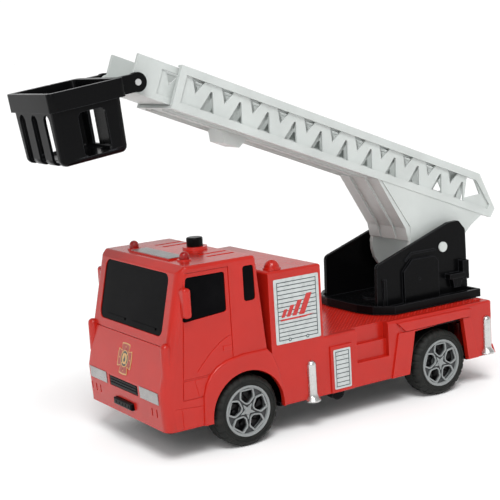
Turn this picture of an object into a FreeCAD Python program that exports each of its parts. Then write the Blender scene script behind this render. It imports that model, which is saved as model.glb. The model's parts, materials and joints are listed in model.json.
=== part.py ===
import FreeCAD, Part
import math
import os
import Sketcher

# A toy fire engine about 300 mm long: a hollow cab and body on a chassis, free-rolling wheels,
# a friction drive on the rear axle, and a turntable that carries a lifting, extending ladder
# with a basket. The nose faces -Y, the left side is +X and the wheels stand on Z = 0.
# Every sub-part is drawn about a reference point of its own, then placed in the shared frame.

DRIVING_SIZES = [
    ("front_axle_y", -55.5, "front axle, so that the origin lies under the middle of the whole length"),
    ("wheelbase", 130.0, "front axle to rear axle"),
    ("tyre_radius", 18.6, "outside of a tyre"),
    ("tyre_width", 14.5, "across a tyre"),
    ("rim_radius", 13.4, "seat of a tyre on its rim"),
    ("axle_radius", 1.5, "steel axle rod"),
    ("running_gap", 0.06, "radial clearance of a shaft that turns"),
    ("part_gap", 0.3, "space between neighbouring mouldings"),
    ("half_width", 43.8, "middle of the truck to a side wall's outer face"),
    ("wall", 2.0, "thickness of the red mouldings"),
    ("skirt", 17.0, "ground to the bottom of the side walls"),
    ("nose", 48.2, "front axle forward to the bumper's face"),
    ("cab_back", 14.0, "front axle back to the cab's rear wall"),
    ("cab_height", 98.0, "ground to the cab roof"),
    ("roof_slant", 4.5, "how far the cab's rear wall leans forward at the roof"),
    ("sill", 48.5, "ground to the foot of the leaning rear wall"),
    ("arch_radius", 21.6, "round opening over a front wheel"),
    ("box_front", 16.1, "front axle back to the equipment box"),
    ("box_back", 48.8, "front axle back to the rear of the equipment box"),
    ("box_height", 88.0, "ground to the top of the equipment box"),
    ("bed_height", 48.6, "ground to the flat bed"),
    ("tail", 169.4, "front axle back to the rear wall"),
    ("swing_y", 133.0, "front axle back to the turntable's axis"),
    ("hub_radius", 11.9, "turntable hub in the bed"),
    ("pivot_y", 150.1, "front axle back to the ladder pivot"),
    ("pivot_height", 80.5, "ground to the ladder pivot"),
    ("ladder_angle", 21.0, "ladder's slope at rest, in degrees"),
    ("ladder_half", 18.6, "middle of the ladder to the outer face of its rails"),
    ("ladder_low", 26.2, "pivot up to the underside of the outer ladder"),
    ("ladder_deep", 22.6, "height of the outer ladder's side frames"),
    ("ladder_reach", 190.7, "pivot forward to the outer ladder's front end"),
    ("lattice_pitch", 18.0, "one V of the ladder's side lattice"),
    ("fly_half", 15.0, "middle of the inner ladder to its side face"),
    ("fly_reach", 214.0, "pivot forward to the inner ladder's tip"),
    ("fly_back", 14.0, "pivot back to the inner ladder's rear end"),
    ("basket_pin_reach", 212.5, "pivot forward to the basket pins"),
    ("basket_pin_rise", 33.0, "pivot up to the basket pins, square to the ladder"),
    ("basket_tilt", 8.0, "basket's nose-down tilt at rest, in degrees"),
    ("basket_half", 26.0, "middle of the basket to the side of its collar"),
    ("gear_module", 0.6, "pitch diameter of a gear over its number of teeth"),
]


class Size:
    """A length that knows its value and the sheet formula behind it."""

    def __init__(self, value, text):
        self.value = value
        self.text = text

    def __add__(self, other):
        return joined(self, "+", other, self.value + number(other))

    def __radd__(self, other):
        return joined(other, "+", self, number(other) + self.value)

    def __sub__(self, other):
        return joined(self, "-", other, self.value - number(other))

    def __rsub__(self, other):
        return joined(other, "-", self, number(other) - self.value)

    def __mul__(self, other):
        return joined(self, "*", other, self.value * number(other))

    def __rmul__(self, other):
        return joined(other, "*", self, number(other) * self.value)

    def __truediv__(self, other):
        return joined(self, "/", other, self.value / number(other))

    def __neg__(self):
        return joined(0, "-", self, -self.value)


def number(size):
    """The plain value of a Size or a number."""
    return size.value if isinstance(size, Size) else float(size)


def wording(size):
    """The formula text of a Size or a number."""
    return size.text if isinstance(size, Size) else "%.6f" % size


def joined(left, sign, right, value):
    """A Size worked out from two others."""
    return Size(value, "(%s %s %s)" % (wording(left), sign, wording(right)))


doc = FreeCAD.newDocument("fire_engine")
sheet = doc.addObject("Spreadsheet::Sheet", "Sizes")
SIZE = {}
for row, (alias, value, meaning) in enumerate(DRIVING_SIZES, start=1):
    sheet.set("A%d" % row, meaning)
    sheet.set("B%d" % row, str(value))
    sheet.setAlias("B%d" % row, alias)
    SIZE[alias] = Size(value, "Sizes." + alias)
doc.recompute()

ALONG = {"x": FreeCAD.Vector(1, 0, 0), "y": FreeCAD.Vector(0, 1, 0), "z": FreeCAD.Vector(0, 0, 1)}
# How a flat outline stands in space: its own across, its own up, and the way it is pushed out.
STANDING = {
    "x": FreeCAD.Rotation(ALONG["y"], ALONG["z"], ALONG["x"], "ZXY"),
    "y": FreeCAD.Rotation(ALONG["x"], ALONG["z"], ALONG["y"] * -1, "ZXY"),
    "z": FreeCAD.Rotation(),
}
NODES = []


# Building helpers

def bind(thing, prop, size):
    """Ties a property to the sheet."""
    thing.setExpression(prop, wording(size))


def move(thing, point, rotation=None):
    """Puts an object at a point whose coordinates are tied to the sheet."""
    if rotation is not None:
        thing.Placement = FreeCAD.Placement(FreeCAD.Vector(), rotation)
    for letter, size in zip("xyz", point):
        bind(thing, "Placement.Base." + letter, size)


def block(low, high):
    """A box between two opposite corners."""
    solid = doc.addObject("Part::Box", "block")
    for prop, start, end in zip(("Length", "Width", "Height"), low, high):
        bind(solid, prop, end - start)
    move(solid, low)
    return solid


def rod(start, axis, length, radius):
    """A round bar that starts at a point and runs along +X, +Y or +Z."""
    solid = doc.addObject("Part::Cylinder", "rod")
    bind(solid, "Radius", radius)
    bind(solid, "Height", length)
    move(solid, start, FreeCAD.Rotation(ALONG["z"], ALONG[axis]))
    return solid


def ball(centre, radius):
    """A sphere."""
    solid = doc.addObject("Part::Sphere", "ball")
    bind(solid, "Radius", radius)
    move(solid, centre)
    return solid


def cone(start, length, radius, end_radius):
    """A tapered round bar that rises along +Z."""
    solid = doc.addObject("Part::Cone", "cone")
    bind(solid, "Radius1", radius)
    bind(solid, "Radius2", end_radius)
    bind(solid, "Height", length)
    move(solid, start)
    return solid


def outline(axis, offset, loops):
    """A sketch of closed straight-sided loops, square to an axis at an offset along it."""
    sketch = doc.addObject("Sketcher::SketchObject", "outline")
    for points in loops:
        first = sketch.GeometryCount
        count = len(points)
        for index, point in enumerate(points):
            following = points[(index + 1) % count]
            start = FreeCAD.Vector(number(point[0]), number(point[1]), 0)
            end = FreeCAD.Vector(number(following[0]), number(following[1]), 0)
            sketch.addGeometry(Part.LineSegment(start, end), False)
        for index in range(count):
            sketch.addConstraint(
                Sketcher.Constraint("Coincident", first + index, 2, first + (index + 1) % count, 1)
            )
        for index, point in enumerate(points):
            for kind, size in zip(("DistanceX", "DistanceY"), point):
                place = sketch.addConstraint(
                    Sketcher.Constraint(kind, -1, 1, first + index, 1, number(size))
                )
                bind(sketch, "Constraints[%d]" % place, size)
    base = {"x": (offset, 0, 0), "y": (0, offset, 0), "z": (0, 0, offset)}[axis]
    move(sketch, base, STANDING[axis])
    return sketch


def prism(axis, start, end, *loops):
    """Straight-sided loops pushed out along an axis, between two places on it."""
    solid = doc.addObject("Part::Extrusion", "prism")
    solid.Base = outline(axis, start, loops)
    solid.DirMode = "Custom"
    solid.Dir = ALONG[axis]
    bind(solid, "LengthFwd", end - start)
    solid.Solid = True
    return solid


def turned(axis, points):
    """A loop of (along, radius) points for X, or (radius, along) points for Z, spun about that axis."""
    solid = doc.addObject("Part::Revolution", "turned")
    solid.Source = outline("y", 0, [points])
    solid.Axis = ALONG[axis]
    solid.Angle = 360
    solid.Solid = True
    return solid


def fused(*solids):
    """One solid made of several."""
    if len(solids) == 1:
        return solids[0]
    result = doc.addObject("Part::MultiFuse", "fused")
    result.Shapes = list(solids)
    result.Refine = True
    return result


def cut(base, *tools):
    """A solid with others taken out of it."""
    result = doc.addObject("Part::Cut", "cut")
    result.Base = base
    result.Tool = fused(*tools)
    result.Refine = True
    return result


def shared(first, second):
    """What two solids have in common."""
    result = doc.addObject("Part::MultiCommon", "shared")
    result.Shapes = [first, second]
    return result


def mirrored(source):
    """The same solid on the other side of the truck."""
    result = doc.addObject("Part::Mirroring", "mirrored")
    result.Source = source
    result.Normal = ALONG["x"]
    return result


def both_sides(solid):
    """A solid and its mirror image."""
    return [solid, mirrored(solid)]


def grouped(*solids):
    """Several separate solids kept as one object."""
    result = doc.addObject("Part::Compound", "grouped")
    result.Links = list(solids)
    return result


def rounded(base, radius, wanted):
    """A solid with the wanted edges rounded."""
    doc.recompute()
    result = doc.addObject("Part::Fillet", "rounded")
    result.Base = base
    chosen = [number_of for number_of, edge in enumerate(base.Shape.Edges, start=1) if wanted(edge)]
    result.Edges = [(number_of, radius, radius) for number_of in chosen]
    return result


def runs(edge, axis):
    """Whether a straight edge runs along an axis."""
    return edge.Curve.TypeId == "Part::GeomLine" and abs(
        edge.tangentAt(edge.FirstParameter) * ALONG[axis]
    ) > 0.999


def node(name, thing, at=None, tilt=0):
    """Names a finished sub-part, puts it in place and lists it for export."""
    place = at or (0, SIZE["front_axle_y"], 0)
    finished = doc.addObject("Part::Compound", name)
    finished.Links = [thing]
    finished.Label = name
    move(finished, place, FreeCAD.Rotation(ALONG["x"], tilt))
    NODES.append(finished)


# Cab

CAB_SKIN = {
    "bumper_height": 36.8,
    "brow_height": 95.0,
    "brow_back": 34.9,
    "roof_front": 31.0,
}


def front_slope(inset):
    """The cab's leaning front face between the bumper's top and the brow, moved inwards by an inset."""
    nose = SIZE["nose"]
    return [
        (inset - nose, CAB_SKIN["bumper_height"]),
        (inset - CAB_SKIN["brow_back"], CAB_SKIN["brow_height"]),
    ]


def cab_profile(inset, floor):
    """The cab seen from the side, moved inwards by an inset."""
    roof = SIZE["cab_height"] - inset
    back = SIZE["cab_back"] - inset
    return [
        (inset - SIZE["nose"] + 1.0, floor),
        *front_slope(inset),
        (inset - CAB_SKIN["roof_front"], roof),
        (back - SIZE["roof_slant"], roof),
        (back, SIZE["sill"]),
        (back, floor),
    ]


FLARE = [
    (-26.5, 17.0),
    (-25.8, 31.8),
    (-24.2, 37.6),
    (-21.3, 41.9),
    (-17.0, 45.3),
    (-11.2, 47.8),
    (-1.0, 49.2),
    (12.8, 49.2),
    (16.0, 45.5),
    (18.8, 38.9),
    (21.6, 28.1),
    (22.6, 17.0),
]


def wheel_flare(grow):
    """The raised band around a front wheel opening, seen from the side."""
    middle = 18.6
    loop = []
    for along, height in FLARE:
        reach = math.hypot(along, height - middle)
        factor = 1 + grow / reach
        loop.append(
            (along * factor, max(middle + (height - middle) * factor, 17.0 if grow == 0 else 10.0))
        )
    return loop


def arch_hole():
    """The round opening for a front wheel, through both sides."""
    side = SIZE["half_width"]
    return rod((-side - 5, 0, SIZE["tyre_radius"]), "x", side * 2 + 10, SIZE["arch_radius"])


def side_groove(loop, depth=0.5):
    """Shallow lines cut into both sides of the cab, from one outline less the same outline moved in."""
    side = SIZE["half_width"]
    centre_y = sum(number(point[0]) for point in loop) / len(loop)
    centre_z = sum(number(point[1]) for point in loop) / len(loop)
    line = 0.7
    inner = [
        (y - math.copysign(line, y - centre_y), z - math.copysign(line, z - centre_z))
        for y, z in loop
    ]
    return both_sides(prism("x", side - depth, side + 1, loop, inner))


def crease(points, width=0.8, depth=0.35):
    """A shallow line pressed into both side walls along some points."""
    side = SIZE["half_width"]
    back = [(y + width * 0.6, z - width * 0.8) for y, z in reversed(points)]
    return both_sides(prism("x", side - depth, side + 1, points + back))


PANEL_CREASES = [
    [(-28.6, 45.3), (-25.6, 48.5), (-20.4, 53.6), (-14.5, 58.0), (-7.6, 61.0)],
    [(-30.8, 42.6), (-29.8, 38.4), (-28.4, 32.7)],
    [(-43.0, 28.8), (-27.0, 27.6)],
    [(-38.6, 27.6), (-38.4, 17.6)],
]
DOOR = [(-37.8, 31.5), (-33.0, 95.0), (-7.0, 95.0), (-7.0, 40.0), (-19.0, 31.5)]
DOOR_WINDOW = [(-35.0, 70.5), (-31.6, 92.6), (-9.4, 92.6), (-9.4, 72.4)]
REAR_WINDOW = [(1.2, 75.5), (1.2, 93.6), (7.8, 93.6), (8.0, 75.5)]
WINDSCREEN = [(-34.4, 63.2), (-34.4, 94.0), (34.4, 94.0), (34.4, 63.2)]


def shrunk(loop, gap):
    """A four-cornered outline moved in by a gap on every side."""
    centre_a = sum(point[0] for point in loop) / len(loop)
    centre_b = sum(point[1] for point in loop) / len(loop)
    return [(a - math.copysign(gap, a - centre_a), b - math.copysign(gap, b - centre_b)) for a, b in loop]


def window_pane(loop, start, end):
    """A side window's outline as a solid with rounded corners, between two distances from the middle."""
    return rounded(prism("x", start, end, loop), 1.6, lambda edge: runs(edge, "x"))


def windscreen_pane(gap):
    """The windscreen's outline as a solid that runs along Y, with rounded corners."""
    pane = prism("y", -28.0, -28.0, shrunk(WINDSCREEN, gap))
    bind(pane, "LengthFwd", 30)
    pane.Dir = ALONG["y"] * -1
    return rounded(pane, 4.0, lambda edge: runs(edge, "y"))


def cab_outside():
    """The cab's outer block with soft corners."""
    side = SIZE["half_width"]
    plain = prism("x", -side, side, cab_profile(0, SIZE["skirt"]))

    def is_front_corner(edge):
        middle = edge.CenterOfMass
        return abs(middle.x) > 43 and middle.y < -33 and middle.z > 18 and not runs(edge, "x")

    def is_roof_or_back_edge(edge):
        middle = edge.CenterOfMass
        return abs(middle.x) > 40 and (
            middle.z > 97 or middle.y > 9
        ) and middle.z > 18 and not runs(edge, "x")

    def is_brow(edge):
        middle = edge.CenterOfMass
        return runs(edge, "x") and (middle.z > 97.5 or (middle.y < -33 and middle.z > 94))

    fronted = rounded(plain, 5.0, is_front_corner)
    return rounded(fronted, 1.8, lambda edge: is_brow(edge) or is_roof_or_back_edge(edge))


def cab_shell():
    """The red cab: hollow, open below, with window openings, wheel flares and roof details."""
    side = SIZE["half_width"]
    wall = SIZE["wall"]
    roof = SIZE["cab_height"]
    inside = prism("x", wall - side, side - wall, cab_profile(wall, SIZE["skirt"] - 5))
    grooves = side_groove(DOOR) + side_groove(
        [(-36.9, 41.0), (-36.8, 42.6), (-22.0, 42.6), (-22.0, 41.0)],
        0.35,
    )
    for points in PANEL_CREASES:
        grooves += crease(points)
    hollow = cut(cab_outside(), inside, *grooves)
    flare = rounded(
        prism("x", side - wall, side + 1.3, wheel_flare(0)),
        1.0,
        lambda edge: edge.CenterOfMass.x > 45.0 and edge.CenterOfMass.z > 17.5,
    )
    corner_post = fused(
        rod((40.4, -43.6, 44.8), "z", 14.1, 2.6),
        ball((40.4, -43.6, 58.9), 2.6),
        ball((40.4, -43.6, 44.8), 2.6),
    )
    mirror = rounded(
        block((side - 0.5, -35.4, 73.0), (side + 4.0, -31.0, 88.0)),
        1.6,
        lambda edge: edge.CenterOfMass.x > 44.0,
    )
    handle = block((side - 0.5, -12.8, 52.8), (side + 0.5, -7.8, 55.0))
    boss = rod((20, -42.6, 18.4), "z", 16, 2.9)
    roof_pad = prism(
        "z",
        roof - 0.5,
        roof + 0.7,
        [(-21.5, -28.0), (21.5, -28.0), (21.5, -17.0), (-21.5, -17.0)],
    )
    button_collar = rod((0, 0, roof - 0.5), "z", 1.9, 6.6)
    lamp_seat = rod((27, -22, roof - 0.5), "z", 1.2, 3.6)
    board_peg = rod((28, 3.0, roof - 11.75), "z", 10.75, 1.8)
    solid = fused(
        hollow,
        *both_sides(flare),
        *both_sides(corner_post),
        *both_sides(mirror),
        *both_sides(handle),
        *both_sides(boss),
        roof_pad,
        button_collar,
        *both_sides(lamp_seat),
        *both_sides(board_peg),
    )
    front_grille_hole = block((-16, -52, 30.4), (16, -46.2, 35.9))
    bumper_block_hole = block((-10, -52, 21.4), (10, -44.0, 25.4))
    bumper_slots = [
        block((x, -52, 23.5), (x + 1.2, -47.3 + wall / 4, 27.5))
        for x in (-39, -34, -29, 29, 34)
    ]
    bonnet_line = prism("x", -36.5, 36.5, [(-45, 58.6), (-42.55, 58.6), (-42.4, 59.4), (-45, 59.4)])
    roof_slots = [block((x, -9.0, roof - 0.4), (x + 2.4, 7.0, roof + 1)) for x in (-28.4, -20.4, 18, 26)]
    pilots = both_sides(rod((20, -42.6, 18), "z", 9, 0.9))
    sound_pegs_clear = both_sides(rod((27, -22, roof - 6), "z", 10, 2.65))
    button_hole = rod((0, 0, roof - 6), "z", 12, 4.45)
    under_edge = block((wall - side - 0.2, 11.8, 10), (side - wall + 0.2, 15, 18.4))
    side_panes = []
    for loop in (DOOR_WINDOW, REAR_WINDOW):
        side_panes += both_sides(window_pane(loop, side - 4, side + 1))
    return cut(
        solid,
        arch_hole(),
        windscreen_pane(0),
        *side_panes,
        front_grille_hole,
        bumper_block_hole,
        *bumper_slots,
        bonnet_line,
        *roof_slots,
        *pilots,
        *sound_pegs_clear,
        button_hole,
        under_edge,
    )


def windscreen():
    """The black screen in the cab's front, a little below the red skin, with two moulded wipers."""
    (low_y, low_z), (high_y, high_z) = front_slope(0.5)
    slab = prism(
        "x",
        -40,
        40,
        [(low_y, low_z), (high_y, high_z), (high_y + 1.6, high_z), (low_y + 1.6, low_z)],
    )
    pane = shared(slab, windscreen_pane(0.15))
    slope = (number(high_y) - number(low_y)) / (number(high_z) - number(low_z))

    def wiper(start_x, end_x, low, high):
        """One blade lying on the glass."""
        on_glass = number(low_y) + (low - number(low_z)) * slope
        arm = prism(
            "x",
            start_x,
            end_x,
            [
                (on_glass - 0.5, low),
                (on_glass - 0.5 + (high - low) * slope, high),
                (on_glass + 1.2, high),
                (on_glass + 0.9, low),
            ],
        )
        return arm

    return fused(pane, wiper(-26, -6, 65.4, 66.6), wiper(2, 27, 65.4, 66.6))


def side_glazing():
    """The two black panes on one side of the cab."""
    side = SIZE["half_width"]
    panes = [
        window_pane(shrunk(loop, 0.12), side - 1.9, side - 0.4)
        for loop in (DOOR_WINDOW, REAR_WINDOW)
    ]
    return grouped(*panes)


def front_grille():
    """The black grille in the cab's front, with level bars."""
    plate = rounded(block((-15.8, -47.7, 30.6), (15.8, -46.3, 35.7)), 1.2, lambda edge: runs(edge, "y"))
    bars = [block((-14.5, -48.3, height), (14.5, -47.5, height + 0.8)) for height in (31.5, 33.0, 34.5)]
    return fused(plate, *bars)


def bumper_block():
    """The black block low in the bumper."""
    plate = rounded(
        block((-9.8, -49.6, 21.6), (9.8, -44.2, 25.2)),
        0.8,
        lambda edge: edge.CenterOfMass.y < -49,
    )
    return cut(plate, *[block((x, -50, 22.6), (x + 0.9, -49.0, 24.2)) for x in (-7, -3.5, 0, 3.5, 7)])


def on_front(low_x, high_x, low_z, high_z, thickness):
    """A thin patch lying on the cab's leaning front face."""
    (low_y, base), (high_y, top) = front_slope(0)
    slope = (number(high_y) - number(low_y)) / (number(top) - number(base))

    def face(height):
        """Where the front face is at a height."""
        return low_y + (height - number(base)) * slope

    return prism(
        "x",
        low_x,
        high_x,
        [
            (face(low_z), low_z),
            (face(high_z), high_z),
            (face(high_z) - thickness, high_z),
            (face(low_z) - thickness, low_z),
        ],
    )


def headlight():
    """A silver foil lamp on the bumper's face."""
    nose = SIZE["nose"]
    face_drop = 0.05
    return prism(
        "x",
        18.6,
        38.0,
        [
            (1.0 - nose - 0.705, 30.6),
            (-nose - face_drop, 36.6),
            (-nose - 0.35, 36.6),
            (1.0 - nose - 1.0, 30.6),
        ],
    )


def front_badge():
    """A cross-shaped badge with a round middle, lying on the cab's front."""
    slab = on_front(-9, 9, 38, 56, 0.35)
    cross = fused(
        rod((0, -52, 46.9), "y", 12, 6.2),
        block((-3.0, -52, 38.6), (3.0, -40, 55.2)),
        block((-7.8, -52, 43.9), (7.8, -40, 49.9)),
    )
    return shared(slab, cross)


def roof_panel():
    """The silver foil on the roof's raised pad."""
    top = SIZE["cab_height"] + 0.7
    return block((-20.5, -27.2, top), (20.5, -17.8, top + 0.25))


# Body

REAR_ARCH = [(-27.7, 0.0), (-19.3, 40.6), (16.4, 42.4), (22.4, 0.0)]


def rear_side(points):
    """Points measured from the rear axle, as seen from the side."""
    return [(SIZE["wheelbase"] + along, height) for along, height in points]


def step_well(deep, low):
    """The space over one of the steps in the body's side."""
    side = SIZE["half_width"]
    return block((side - deep, 70.5, low), (side + 2, 92.5, SIZE["bed_height"] + 1))


def body_shell():
    """The red body: equipment box, flat bed, recessed steps, rear arches and raised trims."""
    side = SIZE["half_width"]
    wall = SIZE["wall"]
    bed = SIZE["bed_height"]
    tail = SIZE["tail"]
    front = SIZE["box_front"]
    back = SIZE["box_back"]
    top = SIZE["box_height"]
    skirt = SIZE["skirt"]
    outside = fused(
        block((-side, front, skirt), (side, tail, bed)),
        block((-side, front, skirt), (side, back, top)),
    )

    def is_soft(edge):
        middle = edge.CenterOfMass
        on_box_top = middle.z > 87.5
        on_rear = middle.y > 169 and middle.z > 20
        on_bed_side = runs(edge, "y") and abs(middle.z - 48.6) < 0.1
        return on_box_top or on_rear or on_bed_side

    softened = rounded(outside, 1.3, is_soft)
    inside = fused(
        block((wall - side, front + wall, 10), (side - wall, tail - wall, bed - wall)),
        block((wall - side, front + wall, 10), (side - wall, back - wall, top - wall)),
    )
    step_backing = block((side - 7.2, 68.5, 28.0), (side - 1, 94.5, bed - 1))
    arch_band = prism(
        "x", side - 1, side + 0.9, rear_side([(-36.2, 17.0), (-30.8, 41.2), (21.6, 41.6), (27.5, 17.0)])
    )
    trim = rounded(
        prism(
            "x",
            side - 1,
            side + 1.5,
            rear_side([(-31.9, 47.3), (22.5, 46.6), (21.6, 41.9), (-25.8, 41.6)]),
        ),
        0.5,
        lambda edge: edge.CenterOfMass.x > 45.2,
    )
    locker = rounded(
        block(
            (side - 1, 52.4, skirt),
            (side + 1.2, 66.6, 42.5),
        ), 0.6, lambda edge: edge.CenterOfMass.x > 44.9
    )
    lip = prism(
        "x",
        -side,
        side,
        [(tail - 1, skirt), (tail + 2.2, skirt), (tail, 22.5), (tail - 1, 22.5)],
    )
    dome = fused(ball((36.2, 23.8, top + 0.6), 4.1), rod((36.2, 23.8, top - 1), "z", 1.8, 4.7))
    bosses = both_sides(rod((39.2, 78, 18.4), "z", 14, 2.9)) + both_sides(
        rod((20, tail - 4.6, 18.4), "z", 14, 2.9)
    )
    solid = fused(
        cut(softened, inside),
        *both_sides(step_backing),
        *both_sides(arch_band),
        *both_sides(trim),
        *both_sides(locker),
        lip,
        *both_sides(dome),
        *bosses,
    )
    steps = []
    for deep, low in ((2.6, 29.9), (4.9, 39.3)):
        steps += both_sides(step_well(deep, low))
    arch = prism("x", -side - 5, side + 5, rear_side(REAR_ARCH))
    flare_clear = prism("x", -side - 5, side + 5, wheel_flare(0.35))
    pilots = both_sides(rod((39.2, 78, 18), "z", 9, 0.9)) + both_sides(
        rod((20, tail - 4.6, 18), "z", 9, 0.9)
    )
    hub_hole = rod((0, SIZE["swing_y"], bed - 6), "z", 12, SIZE["hub_radius"] + SIZE["running_gap"])
    under_edge = block((wall - side - 0.2, 14, 10), (side - wall + 0.2, 18.5, 18.4))
    return cut(solid, *steps, arch, flare_clear, *pilots, hub_hole, under_edge)


def slatted_label(low, high, slats, latches):
    """A thin sticker: a bordered shutter with fine lines, flat on the side wall."""
    depth = high[0] - low[0]
    sheet_of = block(low, high)
    border = 1.0
    tools = []
    height = (high[2] - low[2] - border * 2) / slats
    for index in range(1, slats):
        level = low[2] + border + height * index
        tools.append(
            block(
                (low[0] + depth / 2, low[1] + border, level),
                (high[0] + 1, high[1] - border, level + 0.3),
            )
        )
    for along in latches:
        tools.append(rod((low[0] + depth / 2, along, low[2] + 1.8), "x", 1, 0.7))
    return cut(sheet_of, *tools)


def outrigger():
    """A silver dummy support leg: a round-topped column on a flanged foot, at its own foot's centre."""
    column = fused(rod((0, 0, 0), "z", 19.5, 2.6), ball((0, 0, 19.5), 2.6))
    foot = cone((0, 0, 0), 3.2, 4.4, 3.0)
    half = block((0, -6, -1), (6, 6, 26))
    return shared(fused(column, foot), half)


# Chassis and the parts under the skin

def wheel_well(middle, direction, back):
    """The walls of a wheel well beside the chassis, from the axle forward and back, on one side."""
    side = SIZE["half_width"] - SIZE["wall"] - SIZE["part_gap"]
    inner = 26.3
    top = 41.5
    thick = 1.5
    wall = block((inner - thick, middle - WELL_REACH, FLOOR_LOW), (inner, middle + back, top))
    roof = block((inner - thick, middle - 19.0, top - thick), (side, middle + min(back, 19.0), top))
    well = fused(wall, roof)
    return well if direction > 0 else mirrored(well)


WELL_REACH = 21.0
FLOOR_LOW = 16.0
FLOOR_TOP = 18.0
CELL_Y = 36.5
CELL_RADIUS = 5.8
LID_SCREW_Y = 46.5


def battery_pocket():
    """The walled pocket for the cells, and what is taken out of the floor for it and its lid."""
    half = CELL_RADIUS * 3 + 1.2
    depth = CELL_RADIUS + 0.9
    walls = cut(
        block((-half - 1.5, CELL_Y - depth - 1.5, FLOOR_LOW), (half + 1.5, CELL_Y + depth + 1.5, 25.0)),
        block((-half, CELL_Y - depth, 10), (half, CELL_Y + depth, 23.5)),
    )
    post = rod((0, LID_SCREW_Y, FLOOR_LOW), "z", 7.0, 2.6)
    mouth = block((-half, CELL_Y - depth, 10), (half, CELL_Y + depth, 17.0))
    ledge = block((0.4 - half, CELL_Y - depth + 0.4, 16.5), (half - 0.4, CELL_Y + depth - 0.4, 19))
    ear_seat = block((-3.4, CELL_Y + depth - 1.0, 10), (3.4, LID_SCREW_Y + 3.2, 17.0))
    return [walls, post], [mouth, ledge, ear_seat, rod((0, LID_SCREW_Y, 10), "z", 12.5, 0.9)]


def chassis_base():
    """The black floor: axle saddles, wheel wells, screw holes, a battery pocket and side feet."""
    side = SIZE["half_width"] - SIZE["wall"] - SIZE["part_gap"]
    front = 1.0 + SIZE["wall"] + SIZE["part_gap"] - SIZE["nose"]
    rear = SIZE["tail"] - SIZE["wall"] - SIZE["part_gap"]
    axle = SIZE["tyre_radius"]
    parts = [block((-side, front, FLOOR_LOW), (side, rear, FLOOR_TOP))]
    holes = []
    for middle, back in ((0, 11.4), (SIZE["wheelbase"], WELL_REACH)):
        wheel_room = block((26.3, middle - WELL_REACH, 10), (side + 1, middle + WELL_REACH, 20))
        holes += both_sides(wheel_room)
        parts += [wheel_well(middle, 1, back), wheel_well(middle, -1, back)]
        saddle = block((18.0, middle - 4.0, FLOOR_LOW), (22.0, middle + 4.0, axle + 4.5))
        parts += both_sides(saddle)
        holes.append(rod((-30, middle, axle), "x", 60, SIZE["axle_radius"] + SIZE["running_gap"]))
    foot = cut(rod((35.5, 59.0, FLOOR_LOW), "x", 5.0, 4.4), block((30, 50, 16.5), (45, 68, 25)))
    parts += both_sides(foot)
    for x, y in SCREW_SPOTS:
        holes.append(rod((x, y, 10), "z", 12, 1.2))
        holes.append(rod((x, y, 10), "z", 7.0, 2.2))
    drive_room = block((-12.0, 99.5, 10), (12.0, 141.5, 20))
    holes.append(drive_room)
    holes += [rod((x, y, 10), "z", 12, 0.9) for x in (-5, 0, 5) for y in (63, 68, 73)]
    pocket, pocket_room = battery_pocket()
    return cut(fused(*parts, *pocket), *holes, *pocket_room)


SCREW_SPOTS = [
    (20, -42.6),
    (-20, -42.6),
    (39.2, 78.0),
    (-39.2, 78.0),
    (20, SIZE["tail"] - 4.6),
    (-20, SIZE["tail"] - 4.6),
]


def pan_screw(x, y, underside, head_radius, shank_radius, length):
    """A cross-head screw driven upwards, its head's bearing face at a height."""
    bottom = number(underside) - 1.0
    head = rounded(
        rod((x, y, underside - 1.1), "z", 1.1, head_radius),
        0.4,
        lambda edge: edge.CenterOfMass.z < bottom,
    )
    shank = rod((x, y, underside), "z", length, shank_radius)
    cross = fused(
        block((x - 1.1, y - 0.25, underside - 2), (x + 1.1, y + 0.25, underside - 0.5)),
        block((x - 0.25, y - 1.1, underside - 2), (x + 0.25, y + 1.1, underside - 0.5)),
    )
    return cut(fused(head, shank), cross)


def battery_cells():
    """Three button cells lying side by side in the pocket."""
    pitch = CELL_RADIUS * 2 + 0.4
    return grouped(*[rod((pitch * index, CELL_Y, 17.1), "z", 5.4, CELL_RADIUS) for index in (-1, 0, 1)])


def battery_cover():
    """The lid under the cells, with a screw ear and grip ribs."""
    half = CELL_RADIUS * 3 + 1.0
    depth = CELL_RADIUS + 0.7
    plate = block((-half, CELL_Y - depth, 15.2), (half, CELL_Y + depth, 16.9))
    ear = block((-3.2, CELL_Y + depth - 1.0, 15.2), (3.2, LID_SCREW_Y + 3.0, 16.9))
    ribs = [
        block((-10, CELL_Y - 4.5 + 3.0 * index, 14.8), (10, CELL_Y - 3.5 + 3.0 * index, 15.4))
        for index in range(4)
    ]
    return cut(
        fused(plate, ear, *ribs),
        rod((0, LID_SCREW_Y, 10), "z", 10, 1.1),
        rod((0, LID_SCREW_Y, 14), "z", 2.0, 2.0),
    )


def speaker():
    """A small round loudspeaker lying over its holes in the floor."""
    return cut(
        fused(
            rod((0, 68, 18.0), "z", 2.4, 13.0),
            cone((0, 68, 20.4), 2.6, 11.0, 7.0),
            rod((0, 68, 23.0), "z", 3.6, 6.5),
        ),
        cone((0, 68, 17.9), 1.8, 11.5, 6.0),
    )


def circuit_board():
    """The sound board under the roof, with its push switch and a chip."""
    low = SIZE["cab_height"] - 13.0
    board = block((-32.0, -27.0, low), (32.0, 6.5, low + 1.2))
    switch = fused(
        block((-2.4, -2.4, low + 1.2), (2.4, 2.4, low + 4.4)),
        rod((0, 0, low + 4.4), "z", 0.6, 1.6),
    )
    chip = block((-16.0, -18.0, low + 1.2), (-6.0, -11.0, low + 3.0))
    return fused(board, switch, chip)


def lamp():
    """A red beacon: a five millimetre lamp whose dome stands through the roof."""
    roof = SIZE["cab_height"]
    low = roof - 11.8
    return fused(
        rod((0, 0, low), "z", 1.0, 2.9),
        rod((0, 0, low + 1.0), "z", 12.8, 2.5),
        ball((0, 0, low + 13.8), 2.5),
    )


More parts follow.
